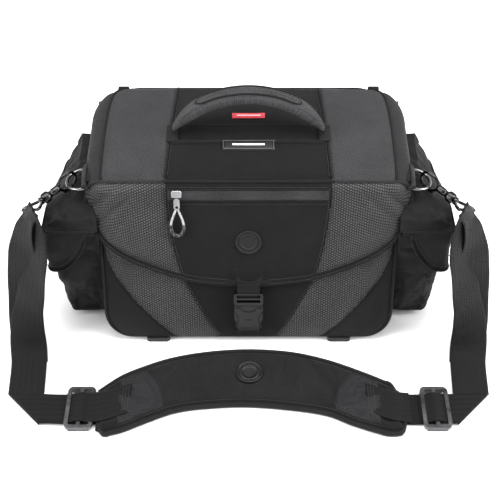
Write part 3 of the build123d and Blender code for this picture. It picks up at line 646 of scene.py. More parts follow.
def back_pocket_point(u, v):
    """An open slip pocket on the back."""
    x, z = lerp(-134, 134, u), lerp(30, 128 - 5 * bell(u), v)
    y = back_point(0.5 + x / (2 * (panel_half(z) - 0.6)), (z - BOTTOM - 0.4) / (198.1 - BOTTOM))[1]
    edge = smooth(min(1, u * 14, (1 - u) * 14, v * 8))
    return x, y + 0.2 + 1.6 * edge + (0.8 * v + rumple(x, 50, z, 34, 1.2)) * edge, z


back_pocket = surface("back_pocket", back_pocket_point, 110, 50, [TWILL], thick=1.4, offset=0)
attach(back_pocket, "bag")
mouth = [back_pocket_point(k / 40, 1.0) for k in range(41)]
mouth = [(x, y + 0.4, z) for x, y, z in mouth]
attach(sweep("back_pocket_hem", chain(mouth, 4), (0, 0, 1), 4.2, 1.3, BINDING, 12, 3), "bag")
sides = [back_pocket_point(0.014, 1 - k / 8) for k in range(9)]
sides += [back_pocket_point(k / 20, 0.02) for k in range(1, 20)]
sides += [back_pocket_point(0.986, k / 8) for k in range(9)]
sides = [(x, y + 0.9, z) for x, y, z in sides]
stitches("stitch_back_pocket", sides, (0, 1, 0), "bag", "outer_nylon", pitch=3.2, length=2.3)
front_point = wall_point(lambda z: wall_y(z) + 0.5, 178, 0.2, -1)
front_wall = surface("front_wall", front_point, 80, 50, [NYLON], thick=7.5)
attach(front_wall, "bag", "outer_nylon", "front_panel")


def u_path(y_of, top, inset=0.0):
    """Points down one side, round the bottom corners and up the other side."""
    points = []
    for k in range(9):
        z = lerp(top, BOTTOM + CORNER, k / 8)
        points.append((-HALF + inset, y_of(z), z))
    for k in range(1, 7):
        a = k / 6 * PI / 2
        r = CORNER - inset
        z = BOTTOM + CORNER - r * math.sin(a)
        points.append((-HALF + CORNER - r * math.cos(a), y_of(z), z))
    for k in range(1, 6):
        points.append((lerp(-HALF + CORNER, 0, k / 5), y_of(BOTTOM + inset), BOTTOM + inset))
    return points + [(-x, y, z) for x, y, z in reversed(points[:-1])]


attach(wire("piping_back", u_path(lambda z: BACK - 0.6, 198), 1.9, BINDING, 3), "bag")
back_row = u_path(lambda z: BACK + 0.9, 196, 6)
stitches("stitch_back", back_row, (0, 1, 0), "bag", "outer_nylon", pitch=3.2, length=2.3)
rim_path = [(0, wall_y(178) + 4, 178), (130, wall_y(178) + 4, 178), (152, 70, 178.6), (156, 78, 180.6)]
rim_path += [(156, 120, rim(120)), (156, 170, rim(170)), (150, 180, 199.5), (120, 181, 200), (0, 181, 200)]
rim_path += [(-x, y, z) for x, y, z in reversed(rim_path[1:-1])]
rim_centres = chain([*rim_path, rim_path[0]], 4)[:-1]
attach(sweep("rim_binding", rim_centres, (0, 0, 1), 2.6, 5.2, BINDING, 14, 3, closed=True), "bag")


def liner_point(u, v):
    """Inside of the compartment: round the four walls at v = 1, down to the floor."""
    z = lerp(17, 171, v)
    half = HALF - 13.2
    front, back = wall_y(z) + 13.6, BACK - 13.6
    around = [(-half, front), (half, front), (half, back), (-half, back)]
    lengths = [2 * half, back - front, 2 * half, back - front]
    s = u * sum(lengths)
    k = 0
    while s > lengths[k] and k < 3:
        s -= lengths[k]
        k += 1
    (x0, y0), (x1, y1) = around[k], around[(k + 1) % 4]
    t = s / lengths[k]
    x, y = lerp(x0, x1, t), lerp(y0, y1, t)
    low = clamp((33 - z) / 17)
    x = math.copysign(min(abs(x), half - 17 * low * low), x)
    swell = rumple(x, y, z, 30, 0.8)
    return x - math.copysign(swell * (abs(x) > half - 2), x), y, z


liner = surface("liner", liner_point, 180, 40, [LINING], closed=True, thick=3.4, offset=0)
attach(liner, "bag", "lining", "foam_liner")


for sign, side in SIDES:

    def divider_sheet(u, v, sign=sign):
        z = lerp(19, 160, v)
        y = lerp(wall_y(z) + 14.5, BACK - 14.5, u)
        return sign * 49, y, z - 10 * smooth((abs(u - 0.5) - 0.38) / 0.12) * v**6

    divider = surface(f"divider_pad_{side}", divider_sheet, 40, 46, [LINING], thick=5.4, offset=0)
    attach(divider, "bag", "lining", f"divider_{side}")
    bars = [(wall_y(30) + 15, 24), (wall_y(140) + 15, 140), (wall_y(158) + 22, 159.4)]
    bars += [(160, 159.4), (BACK - 15, 146), (BACK - 15, 24)]
    bars = [(sign * 49, y, z) for y, z in bars]
    attach(wire(f"divider_edge_{side}", bars, 3.2, BINDING, 4), "bag", "lining")


# ---- front pocket ----
def inner_seam(z):
    return 30 + 42 * clamp((z - 8) / 70) ** 0.8


def outer_seam(z):
    return 82 + 73 * (1 - (1 - clamp((z - 8) / 107)) ** 1.7)


def pocket_top(x):
    return lerp(112, 149, smooth((abs(x) - 112) / 18))


def pocket_point(u, v):
    a, fold = 2 * u - 1, 0.05  # the lowest part of v folds under to the wall
    out = min(1.0, v / fold)
    z = lerp(BOTTOM + 0.2, pocket_top(abs(a) * HALF), max(0.0, (v - fold) / (1 - fold)))
    half = panel_half(z) - 0.3
    front, back = front_y(z), wall_y(z)
    depth = back - front
    r = min(9.0, depth * 0.8)
    side_run, arc_run, face_run = depth - r, r * PI / 2, half - r
    s = abs(a) * (side_run + arc_run + face_run)
    if s < face_run:
        x, y = s, front
    elif s < face_run + arc_run:
        t = (s - face_run) / r
        x, y = face_run + r * math.sin(t), front + r * (1 - math.cos(t))
    else:
        x, y = half, front + r + (s - face_run - arc_run)
    x = math.copysign(x, a)
    y = lerp(back - 0.5, y, out)
    if out == 1 and abs(x) < half - 1:
        edge = smooth(min(1, (half - abs(x)) / 18, (z - BOTTOM) / 16))
        ax = abs(x)
        y -= 1.7 * edge * (1 - 0.5 * smooth((z - 60) / 60))
        y += groove(ax - inner_seam(z), 1.3, 2.0) + groove(ax - outer_seam(z), 1.3, 2.0)
        y += rumple(x, 0, z, 26, 0.55) * edge + rumple(x, 5, z, 70, 1.2) * edge
    return x, y, z


def pocket_region(p):
    return int(p.y < front_y(p.z) + 6 and inner_seam(p.z) < abs(p.x) < outer_seam(p.z))


pocket = surface("front_pocket_shell", pocket_point, 230, 84, [NYLON, COMB], pocket_region, thick=2.4)
attach(pocket, "bag", "outer_nylon", "front_pocket")

for sign, side in SIDES:
    for name, seam, high in (("inner", inner_seam, 112), ("outer", outer_seam, 146)):
        levels = [lerp(9, high, k / 14) for k in range(15)]
        path = [(sign * (seam(z) - 2.6), front_y(z) - 1.9, z) for z in levels]
        stitches(f"stitch_pocket_{name}_{side}", path, FACE_OUT, "bag")
edge_path = u_path(lambda z: front_y(z) + 1.6, 146, 1.4)
attach(wire("pocket_piping", edge_path, 1.5, BINDING, 3), "bag")
mouth = [(x, front_y(pocket_top(x)) + 1.0, pocket_top(x)) for x in range(-150, 151, 6)]
attach(sweep("pocket_hem", chain(mouth, 4), (0, 0, 1), 3.4, 2.2, BINDING, 12, 3), "bag")

# ---- lid: top panel and side skirts ----
panel_edge = table([(60, 155), (100, 154), (150, 152), (176, 148), (188, 139)])
outer_edge = table([(60, 169), (110, 170), (150, 168.5), (172, 163), (184, 154), (189, 145)])
side_hem = table([(60, 180), (72, 185.5), (108, 187), (150, 188), (175, 189), (190, 190)])
centre_seam = table([(60, 87), (120, 82), (190, 76.5)])


LID_FRONT, LID_BACK = 62, 188  # the lid's front and back edge along y
TOP_SHARE = 0.80  # the share of the lid's half width that is its top, before the side skirt


def lid_point(u, v):
    a = 2 * u - 1
    y = lerp(LID_FRONT, LID_BACK, v)
    top = crest(y) + 0.8 * math.cos(a * PI / 2)
    flat, out, hem = panel_edge(y), outer_edge(y), side_hem(y)
    ax = abs(a)
    if ax < TOP_SHARE:
        x = flat * ax / TOP_SHARE
        z = top + 1.8 * math.cos(PI / 2 * x / flat) * bell(v) ** 0.6
        z -= groove(x - centre_seam(y), 1.6, 1.8)
        z -= 3.4 * smooth((x - flat + 9) / 9)
        z += rumple(x * (1 if a > 0 else -1), y, 0, 42, 1.5) + rumple(x, y * 1.4, 9, 17, 0.35)
        if v < 0.04:
            z -= 1.0
    else:
        t = (ax - TOP_SHARE) / (1 - TOP_SHARE)
        angle = smooth(min(t * 1.6, 1)) * PI / 2
        x = flat + (out - flat) * math.sin(angle)
        z = lerp(top - 3.4, top - 15, 1 - math.cos(angle))
        z = lerp(z, hem, smooth((t - 0.35) / 0.65))
        x += 1.4 * bell(t) + rumple(x, y, z, 30, 1.2) * bell(t)
    roll = smooth((v - 0.93) / 0.07)
    y += 1.5 * roll
    z -= 4.0 * roll * (ax < 0.9)
    return math.copysign(x, a), y, z


def lid_region(p):
    # the side skirts past the panel's edge get the lighter nylon with its painted highlight
    if abs(p.x) > panel_edge(p.y):
        return 2
    return 1 if centre_seam(p.y) < abs(p.x) else 0


lid_top = surface("lid_cover", lid_point, 260, 90, [NYLON, TWILL, NYLON_HIGHLIT], lid_region, thick=5.0)
attach(lid_top, "lid", "outer_nylon", "lid_top", "lid_skirt_left", "lid_skirt_right")


def on_lid(x, y, lift=0.6):
    """A point on the lid's top panel."""
    flat = panel_edge(y)
    v = (y - LID_FRONT) / (LID_BACK - LID_FRONT)
    z = crest(y) + 0.8 * math.cos(abs(x) / flat * TOP_SHARE * PI / 2)
    z += 1.8 * math.cos(PI / 2 * min(abs(x) / flat, 1)) * max(bell(v), 0) ** 0.6
    z -= 3.4 * smooth((abs(x) - flat + 9) / 9)
    z += rumple(x, y, 0, 42, 1.5)
    return x, y, z + lift


for sign, side in SIDES:
    edge = [on_lid(sign * panel_edge(y), y, -0.4) for y in range(63, 188, 6)]
    attach(wire(f"lid_piping_{side}", edge, 1.7, BINDING, 3), "lid")
    hem_line = [(sign * (outer_edge(y) - 1.6), y, side_hem(y) + 0.6) for y in range(66, 189, 6)]
    attach(sweep(f"skirt_hem_{side}", chain(hem_line, 4), (0, 0, 1), 3.2, 3.4, BINDING, 12, 3), "lid")
    for k, shift in enumerate((-1, 1)):
        seam = [on_lid(sign * (centre_seam(y) + shift * 2.4), y, 0.25) for y in range(64, 187, 5)]
        stitches(f"stitch_lid_{side}_{k}", seam, (0, -0.15, 1), "lid")
    tuck = [on_lid(sign * centre_seam(y), y, -0.6) for y in range(64, 187, 6)]
    attach(wire(f"lid_seam_{side}", tuck, 0.9, BINDING, 3, sides=8), "lid")
for name, y in (("front", 104), ("back", 125)):
    row = [on_lid(x, y, 0.45) for x in range(-80, 81, 8)]
    stitches(f"stitch_lid_{name}", row, (0, -0.15, 1), "lid")
fold = [on_lid(x, 101.5, 0.35) for x in range(-82, 83, 6)]
attach(sweep("lid_fold", chain(fold, 3), (0, 1, 0.3), 1.9, 0.8, NYLON, 10, 2.5), "lid")
back_edge = [(x, 189.4, crest(188) - 5.5 - 5 * smooth((abs(x) - 120) / 22)) for x in range(-140, 141, 7)]
attach(sweep("lid_back_binding", chain(back_edge, 4), (0, 0, 1), 2.7, 1.2, BINDING, 12, 3), "lid")


def hinge_point(u, v):
    x = lerp(-138, 138, u)
    z = lerp(180, 212, v)
    return x, 187.2 + 1.3 * bell(v) + rumple(x, 0, z, 22, 0.3), z


hinge = surface("hinge_strip_cloth", hinge_point, 90, 22, [NYLON], thick=1.2, offset=0)
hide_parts("hinge_strip")
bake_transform(hinge)
hinge_row = [(x, 188.6, 182) for x in range(-136, 137, 8)]
stitches("stitch_hinge", hinge_row, (0, 1, 0), "bag", "webbing", pitch=3.2, length=2.3)


def lid_lining_point(u, v):
    x, y = lerp(-146, 146, u), lerp(72, 182, v)
    quilt = max(groove((x % 48) - 24, 1.4, 3), groove(((y - 72) % 36) - 18, 1.4, 3))
    return x, y, crest(y) - 11.5 + quilt


lid_lining = surface("lid_lining", lid_lining_point, 120, 50, [LINING], thick=2.5, offset=0)
attach(lid_lining, "lid", "lining", "lid_foam")

# ---- lid flap ----
flap_edge_half = table([(0, 74), (60, 80), (97, 91), (131, 106), (152, 122), (165, 138), (171, 152)])


def flap_top(x):
    return lerp(188.5, 181, smooth((abs(x) - 150) / 20))


flap_seam = table([(70, 69), (90, 74), (110, 79), (130, 82.5), (160, 86), (190, 87)])


def flap_surface(x, z):
    """The flap's outer face: y at (x, z)."""
    ax = abs(x)
    y = front_y(z) - 5.9
    y += 11 * smooth((ax - 148) / 26) ** 1.2
    low = flap_edge_half(ax)
    edge = smooth(min(1, (z - low) / 14, (flap_top(x) - z) / 10 + 0.2))
    side = smooth((ax - flap_seam(z)) / 26) * smooth((174 - ax) / 30)
    y -= 3.2 * edge * side
    y += groove(ax - flap_seam(z), 1.5, 2.0)
    y += (rumple(x, 3, z, 40, lerp(0.5, 2.6, side)) + rumple(x, 8, z, 15, 0.5)) * edge * smooth(ax / 45)
    corner = smooth((ax - 112) / 24)
    crease = groove((ax - 148) * 0.8 + (z - 176) * 0.7, 3.0, 4.0)
    crease += groove((ax - 132) * 0.6 + (z - 168) * 0.8, 2.0, 3.5)
    crease -= groove((ax - 156) * 0.85 + (z - 158) * 0.5, 2.4, 6.0)
    return y + crease * corner * edge


FLAP_HALF = 171.5


def flap_point(u, v):
    x = (2 * u - 1) * FLAP_HALF
    low, high = flap_edge_half(abs(x)), flap_top(x)
    z = lerp(low, high, v)
    y = flap_surface(x, z)
    over = smooth((v - 0.955) / 0.045)
    return x, y + 3.0 * over, z + 1.2 * over


def flap_region(p):
    return int(abs(p.x) >= flap_seam(p.z))


flap = surface("flap_cover", flap_point, 260, 90, [NYLON, COMB], flap_region, thick=4.6)
attach(flap, "lid", "outer_nylon", "lid_flap")

hem = []
for k in range(-57, 58):
    x = k * 3.0
    hem.append((x, flap_surface(x, flap_edge_half(abs(x))) + 2.1, flap_edge_half(abs(x)) + 0.8))
side_run = [(171.2, flap_surface(171.2, z) + 2.1, z) for z in (158, 165, 172, 179)]
hem = [(-x, y, z) for x, y, z in reversed(side_run)] + hem + side_run
hem_centres = chain(hem, 3)
hem_wides = [heading(hem_centres, i).cross(OUT) for i in range(len(hem_centres))]
fade = [lerp(0.25, 1, smooth(min(i, len(hem_centres) - 1 - i) / 9)) for i in range(len(hem_centres))]
hem_half, hem_thick = [4.0 * t for t in fade], [3.6 * t for t in fade]
attach(sweep("flap_binding", hem_centres, hem_wides, hem_half, hem_thick, NYLON, 16, 3.2), "lid")
for k, (shift, lift) in enumerate(((1.6, 1.9), (6.0, -0.1))):
    for sign, side in SIDES:
        row = [(x, y - lift - 2.0, z + shift) for x, y, z in hem[5:-5] if sign * x > 18]
        stitches(f"stitch_flap_hem_{side}_{k}", row, FACE_OUT, "lid", "outer_nylon", pitch=3.2, length=2.3)
for sign, side in SIDES:
    for k, shift in enumerate((-2.3, 2.3)):
        row = []
        for i in range(16):
            z = lerp(flap_edge_half(72) + 5, 185, i / 15)
            x = sign * (flap_seam(z) + shift)
            row.append((x, flap_surface(x, z) - 0.25, z))
        stitches(f"stitch_flap_{side}_{k}", row, FACE_OUT, "lid")
brow = [(x, flap_surface(x, flap_top(x) - 1) + 2.6, flap_top(x) + 1.0) for x in range(-168, 169, 6)]
# the seam's side parts get the lighter nylon with its painted highlight, its middle the dark binding
for name, part, mat in (
    ("left", [p for p in brow if p[0] <= -84], NYLON_HIGHLIT),
    ("centre", [p for p in brow if abs(p[0]) <= 90], BINDING),
    ("right", [p for p in brow if p[0] >= 84], NYLON_HIGHLIT),
):
    seam = sweep(f"flap_top_seam_{name}", chain(part, 3), (0, 0.6, 0.8), 1.6, 1.0, mat, 12, 2.5)
    attach(seam, "lid")

# ---- shoulder pad ----
pad_rear = table([
    (-161, -72), (-139, -53), (-115, -40), (-85, -28), (-46, -19.5), (0, -16), (46, -19.5), (85, -30),
    (124, -47), (152, -62), (166, -73),
])
pad_front = table([
    (-161, -120), (-151, -124), (-133, -120), (-110, -109), (-78, -95.5), (-44, -90), (0, -88), (52, -93),
    (86, -100), (109, -111), (135, -121), (151, -125), (166, -119),
])


PAD_ENDS = (-160.5, 163.5)
PAD_MIDDLE = 1.0
PANEL_REACH = 138  # the raised panel ends this far from the middle
PANEL_HALF = 0.4  # and takes this much of the width, each way


def pad_seam(x, v):
    """Distance past the curved seam where the pad's end patch begins."""
    return abs(x - PAD_MIDDLE) - (105 + 27 * (v - 0.5) - 7 * math.sin(PI * clamp(v)))


def pad_sewn(u, v):
    x = lerp(*PAD_ENDS, u)
    if min(u, 1 - u) < 0.02 or min(v, 1 - v) < 0.06:
        return True
    on_rim = abs(PANEL_HALF - abs(v - 0.5)) < 0.018 and abs(x - PAD_MIDDLE) < PANEL_REACH
    return on_rim or abs(pad_seam(x, v)) < 1.6


def pad_point(u, v):
    x = lerp(*PAD_ENDS, u)
    end = min(u, 1 - u)
    y = lerp(pad_front(x), pad_rear(x), clamp(v))
    edge = min(1.0, v * 7, (1 - v) * 7, end * 30 + 0.15)
    z = 3.2 + 6.2 * smooth(edge) ** 0.7
    reach = pad_seam(x, v)
    panel = smooth((2 - reach) / 4) * smooth((PANEL_HALF - abs(v - 0.5)) / 0.03)
    z += 1.3 * panel
    z -= groove((PANEL_HALF - abs(v - 0.5)) * 72, 1.3, 2.0) * (abs(x - PAD_MIDDLE) < PANEL_REACH)
    z -= groove(reach, 1.3, 2.0) * smooth((0.42 - abs(v - 0.5)) / 0.03)
    z += rumple(x, y, 4, 20, 0.35) * edge
    return x, y, z


def pad_region(p):
    width = pad_rear(p.x) - pad_front(p.x)
    v = (p.y - pad_front(p.x)) / width
    if abs(p.x - PAD_MIDDLE) > PANEL_REACH:
        return 0
    on_panel = 0.5 - PANEL_HALF < v < 0.5 + PANEL_HALF
    return (2 if pad_seam(p.x, v) > 0 else 1) if on_panel else 0


pad_top = surface(
    "shoulder_pad_top", pad_point, 240, 60, [NYLON, MESH_CLOTH, PAD_CLOTH], pad_region,
    swell=(pad_sewn, 3.0, 2.2),
)


def pad_under(u, v):
    x, y, z = pad_point(u, v)
    return x, y, 0.6 + 2.2 * (1 - smooth(min(u * 20, (1 - u) * 20, v * 6, (1 - v) * 6)))


pad_base = surface("shoulder_pad_base", pad_under, 120, 24, [MESH_CLOTH], thick=1.2, offset=0)
attach(pad_top, "strap", "pad_fabric", "shoulder_pad")
attach(pad_base, "strap", "pad_fabric")
ring = [(x, pad_rear(x), 3.4) for x in range(-160, 164, 9)] + [(165, -96, 3.4)]
ring += [(x, pad_front(x), 3.4) for x in range(162, -161, -9)] + [(-162, -97, 3.4)]
pad_ring = chain([*ring, ring[0]], 3)[:-1]
pad_edge = sweep("pad_binding", pad_ring, (0, 0, 1), 3.1, 2.4, BINDING, 14, 2.6, closed=True)
attach(pad_edge, "strap", "pad_fabric")
for k, v in enumerate((0.07, 0.93)):
    row = [pad_point(u / 40, v) for u in range(2, 39)]
    row = [(x, y, z + 0.2) for x, y, z in row]
    stitches(f"stitch_pad_{k}", row, (0, 0, 1), "strap", "pad_fabric")

# ---- shoulder strap ----
def strap(name, rows, thick, body, *replaced):
    """Webbing between two edges: rows of (edge, other edge)."""
    sides = 14
    verts, uvs, run = [], [], 0.0
    middles = [(Vector(a) + Vector(b)) / 2 for a, b in rows]
    for i, (a, b) in enumerate(rows):
        along = (middles[min(i + 1, len(rows) - 1)] - middles[max(i - 1, 0)]).normalized()
        across = (Vector(b) - Vector(a)) / 2
        up = along.cross(across).normalized()
        run += (middles[i] - middles[i - 1]).length if i else 0
        for k in range(sides):
            angle = 2 * PI * k / sides
            c, s = math.cos(angle), math.sin(angle)
            x = signed_power(c, 0.35)
            verts.append(middles[i] + across * x + up * thick / 2 * signed_power(s, 0.6))
            uvs.append((x * 2, run / 10))
    web = new_object(name, verts, tube_faces(len(rows), sides), [WEBBING], uvs)
    return attach(web, body, "webbing", *replaced)


def band(name, line, half, thick, body, *replaced):
    """Webbing along a line of points; half is a vector from its middle to one edge."""
    return strap(name, [(p - half, p + half) for p in line], thick, body, *replaced)


def ribbon(name, count, edges, thick, body, *replaced):
    """Webbing whose two edges are given by edges(t), t from 0 to 1."""
    return strap(name, [edges(k / count) for k in range(count + 1)], thick, body, *replaced)


def hanging_rows(keys, width, step=3.0):
    """Rows of a strap whose middle passes the keys: (point, direction across)."""
    centres = chain([p for p, _ in keys], step)
    reached = [0.0]
    for (a, _), (b, _) in zip(keys, keys[1:]):
        reached.append(reached[-1] + (Vector(b) - Vector(a)).length)
    rows = []
    for i, centre in enumerate(centres):
        spot = i / (len(centres) - 1) * reached[-1]
        k = 0
        while k < len(keys) - 2 and spot > reached[k + 1]:
            k += 1
        t = smooth((spot - reached[k]) / (reached[k + 1] - reached[k]))
        across = Vector(keys[k][1]).normalized().lerp(Vector(keys[k + 1][1]).normalized(), t)
        along = heading(centres, i)
        across = (across - along * across.dot(along)).normalized() * width / 2
        rows.append((centre - across, centre + across))
    return rows


# the right ring's middle, the direction of its hook and of the bar the strap runs over
RING = Vector((192.56, 79.0, 173.61))
HOOK = Vector((0.6976, -0.6996, -0.1549))
EYE_BAR = Vector((0.50, 0.63, -0.59))
EYE_BAR = (EYE_BAR - HOOK * EYE_BAR.dot(HOOK)).normalized()
BAR = RING + HOOK * 50
WIDTH = 39.0  # of the shoulder webbing
POST_X = 240.0  # where its two runs lie on the floor, left and right

for sign, side in SIDES:

    out = HOOK.cross(EYE_BAR).normalized()
    keys = [
        ((242, -31, 1.0), (1, 0, 0)),
        ((244.5, -12, 7.6), (1, 0, 0)),
        ((246, 1, 30), (1, 0.05, 0)),
        ((244, 14, 70), (0.95, 0.2, -0.1)),
        ((240.5, 21, 112), (0.85, 0.36, -0.25)),
        ((236.5, 31, 143), (0.62, 0.5, -0.5)),
        (BAR + HOOK * 2.4 + out * -3.2, EYE_BAR),
        (BAR + HOOK * 4.4, EYE_BAR),
        (BAR + HOOK * 2.4 + out * 3.2, EYE_BAR),
        ((222.5, 19, 144), (0.58, 0.36, -0.5)),
        ((226.5, 11, 112), (0.6, 0.5, -0.3)),
        ((236.5, 3, 70), (0.75, 0.42, -0.2)),
        ((244.5, -7, 30), (0.93, 0.2, -0.05)),
        ((245, -16.5, 10.5), (1, 0, 0)),
        ((242.5, -32, 4.2), (1, 0, 0)),
        ((240, -70, 2.4), (1, 0, 0)),
    ]
    rows = hanging_rows([(mirror(p, sign), mirror(d, sign)) for p, d in keys], WIDTH)
    near, far = POST_X - WIDTH / 2, POST_X + WIDTH / 2
    for k in range(1, 12):
        t = k / 11
        edges = (near, lerp(-72, -113, t), 2.0), (far, lerp(-71, -73, t), 2.0)
        rows.append([mirror(edge, sign) for edge in edges])
    strap(f"webbing_strap_{side}", rows, 1.9, "strap", f"webbing_{side}")

    def run_edges(t, sign=sign):
        """From the fold flat on the floor to the tri-glide."""
        z = lerp(4.3, 2.2, smooth((t - 0.1) / 0.5)) + 3.2 * smooth((t - 0.86) / 0.14)
        return mirror((lerp(far, 150, t), -73.5, z), sign), mirror((lerp(near, 150, t), -112.5, z), sign)

    def glide_edges(t, sign=sign):
        """Over the middle bar of the tri-glide."""
        middle = 199 if sign > 0 else 179
        x = lerp(middle + 16, middle - 16, t)
        hump = 3.0 * math.cos((t - 0.5) * 2 * PI) if 0.25 < t < 0.75 else 0
        return mirror((x, -74.5, 5.1 + hump), sign), mirror((x, -111.5, 5.1 + hump), sign)

    def pad_edges(t, sign=sign):
        """From the tri-glide onto the pad."""
        x = lerp(172, 126, t)
        mid = lerp(-93, (pad_rear(x) + pad_front(x)) / 2, smooth(t * 1.6))
        z = lerp(6.0, 10.6, smooth(t * 2.2)) - 0.8 * smooth((t - 0.94) / 0.06)
        return mirror((x, mid + 19, z), sign), mirror((x, mid - 19, z), sign)

    ribbon(f"webbing_run_{side}", 33, run_edges, 1.9, "strap")
    ribbon(f"webbing_glide_{side}", 18, glide_edges, 1.5, "strap")
    ribbon(f"pad_web_{side}", 24, pad_edges, 1.4, "strap")
    for k, x in enumerate((128, 131, 134)):
        mid = (pad_rear(x) + pad_front(x)) / 2
        cross = [mirror((x, mid - 17 + 3.4 * i, 11.5), sign) for i in range(11)]
        stitches(f"stitch_strap_{side}_{k}", cross, (0, 0, 1), "strap", "webbing", pitch=3.2, length=2.3)

# ---- side pouches ----
HOOD_OUT = 215.5  # how far out the hoods' top reaches
HOOD_FOLD = 139.2  # height of the fold between a hood and its tongue

# how far out a pouch's wall lies by height
pouch_out = table([(3, 203), (10, 205), (40, 207), (80, 208), (104, 209), (140, 211)])


def back_taper(y, x):
    """How far a pouch draws in towards the bag at its back corner."""
    return 13 * smooth((y - 70) / 82) * clamp((x - 165) / 50)


def side_shell(name, path, z_low, z_top, nu, nv, mats, sign, puff, thick, seed, cloth_run=None):
    """A wall round a pouch: path(s, z) gives its plan and outward direction."""

    def point(u, v):
        s = u if sign > 0 else 1 - u
        z = lerp(z_low(s), z_top(s), v)
        x, y, nx, ny = path(s, z)
        swell = puff(s, v, z)
        folds = rumple(x, y * 1.3 + seed, z * 0.5, 22, 3.6) + rumple(x, y + seed, z * 0.8, 11, 0.8)
        swell += folds * min(1, v * 6, (1 - v) * 6, s * 12, (1 - s) * 12)
        return sign * (x + nx * swell - back_taper(y, x)), y + ny * swell, z

    return surface(name, point, nu, nv, mats, thick=thick, swell=cloth_run)


def pouch_plan(front, back, inner, outer, r):
    """A three-sided plan with rounded corners: s from the front inner end to the back inner end."""

    def path(s, z):
        out = outer(z)
        face, side = out - r - inner, back - front - 2 * r
        arc = r * PI / 2
        total = 2 * face + 2 * arc + side
        d = s * total
        if d < face:
            return inner + d, front, 0, -1
        d -= face
        if d < arc:
            a = d / r
            return out - r + r * math.sin(a), front + r - r * math.cos(a), math.sin(a), -math.cos(a)
        d -= arc
        if d < side:
            return out, front + r + d, 1, 0
        d -= side
        if d < arc:
            a = d / r
            return out - r + r * math.cos(a), back - r + r * math.sin(a), math.cos(a), math.sin(a)
        return out - r - (d - arc), back, 0, 1

    return path


# y, then the hood's eave height, its ridge in x and z, and its height at the bag's wall
hood_rows = [(38, 146, 203, 148, 149), (77, 147, 180, 163, 165), (105, 145, 184, 169, 171)]
hood_rows.append((151, 143, 190, 180, 182))
hood_shape = [table([(row[0], row[k]) for row in hood_rows]) for k in (1, 2, 3, 4)]
# height of a tongue's edge by how far out it lies
tongue_low = table([(172, 136), (175, 122), (185, 101), (198, 85), (206, 80.5), (214, 80)])


def hemmed(u, v):
    """Sewn points of a pouch piece: its four edges."""
    return min(u, 1 - u) < 0.015 or min(v, 1 - v) < 0.03


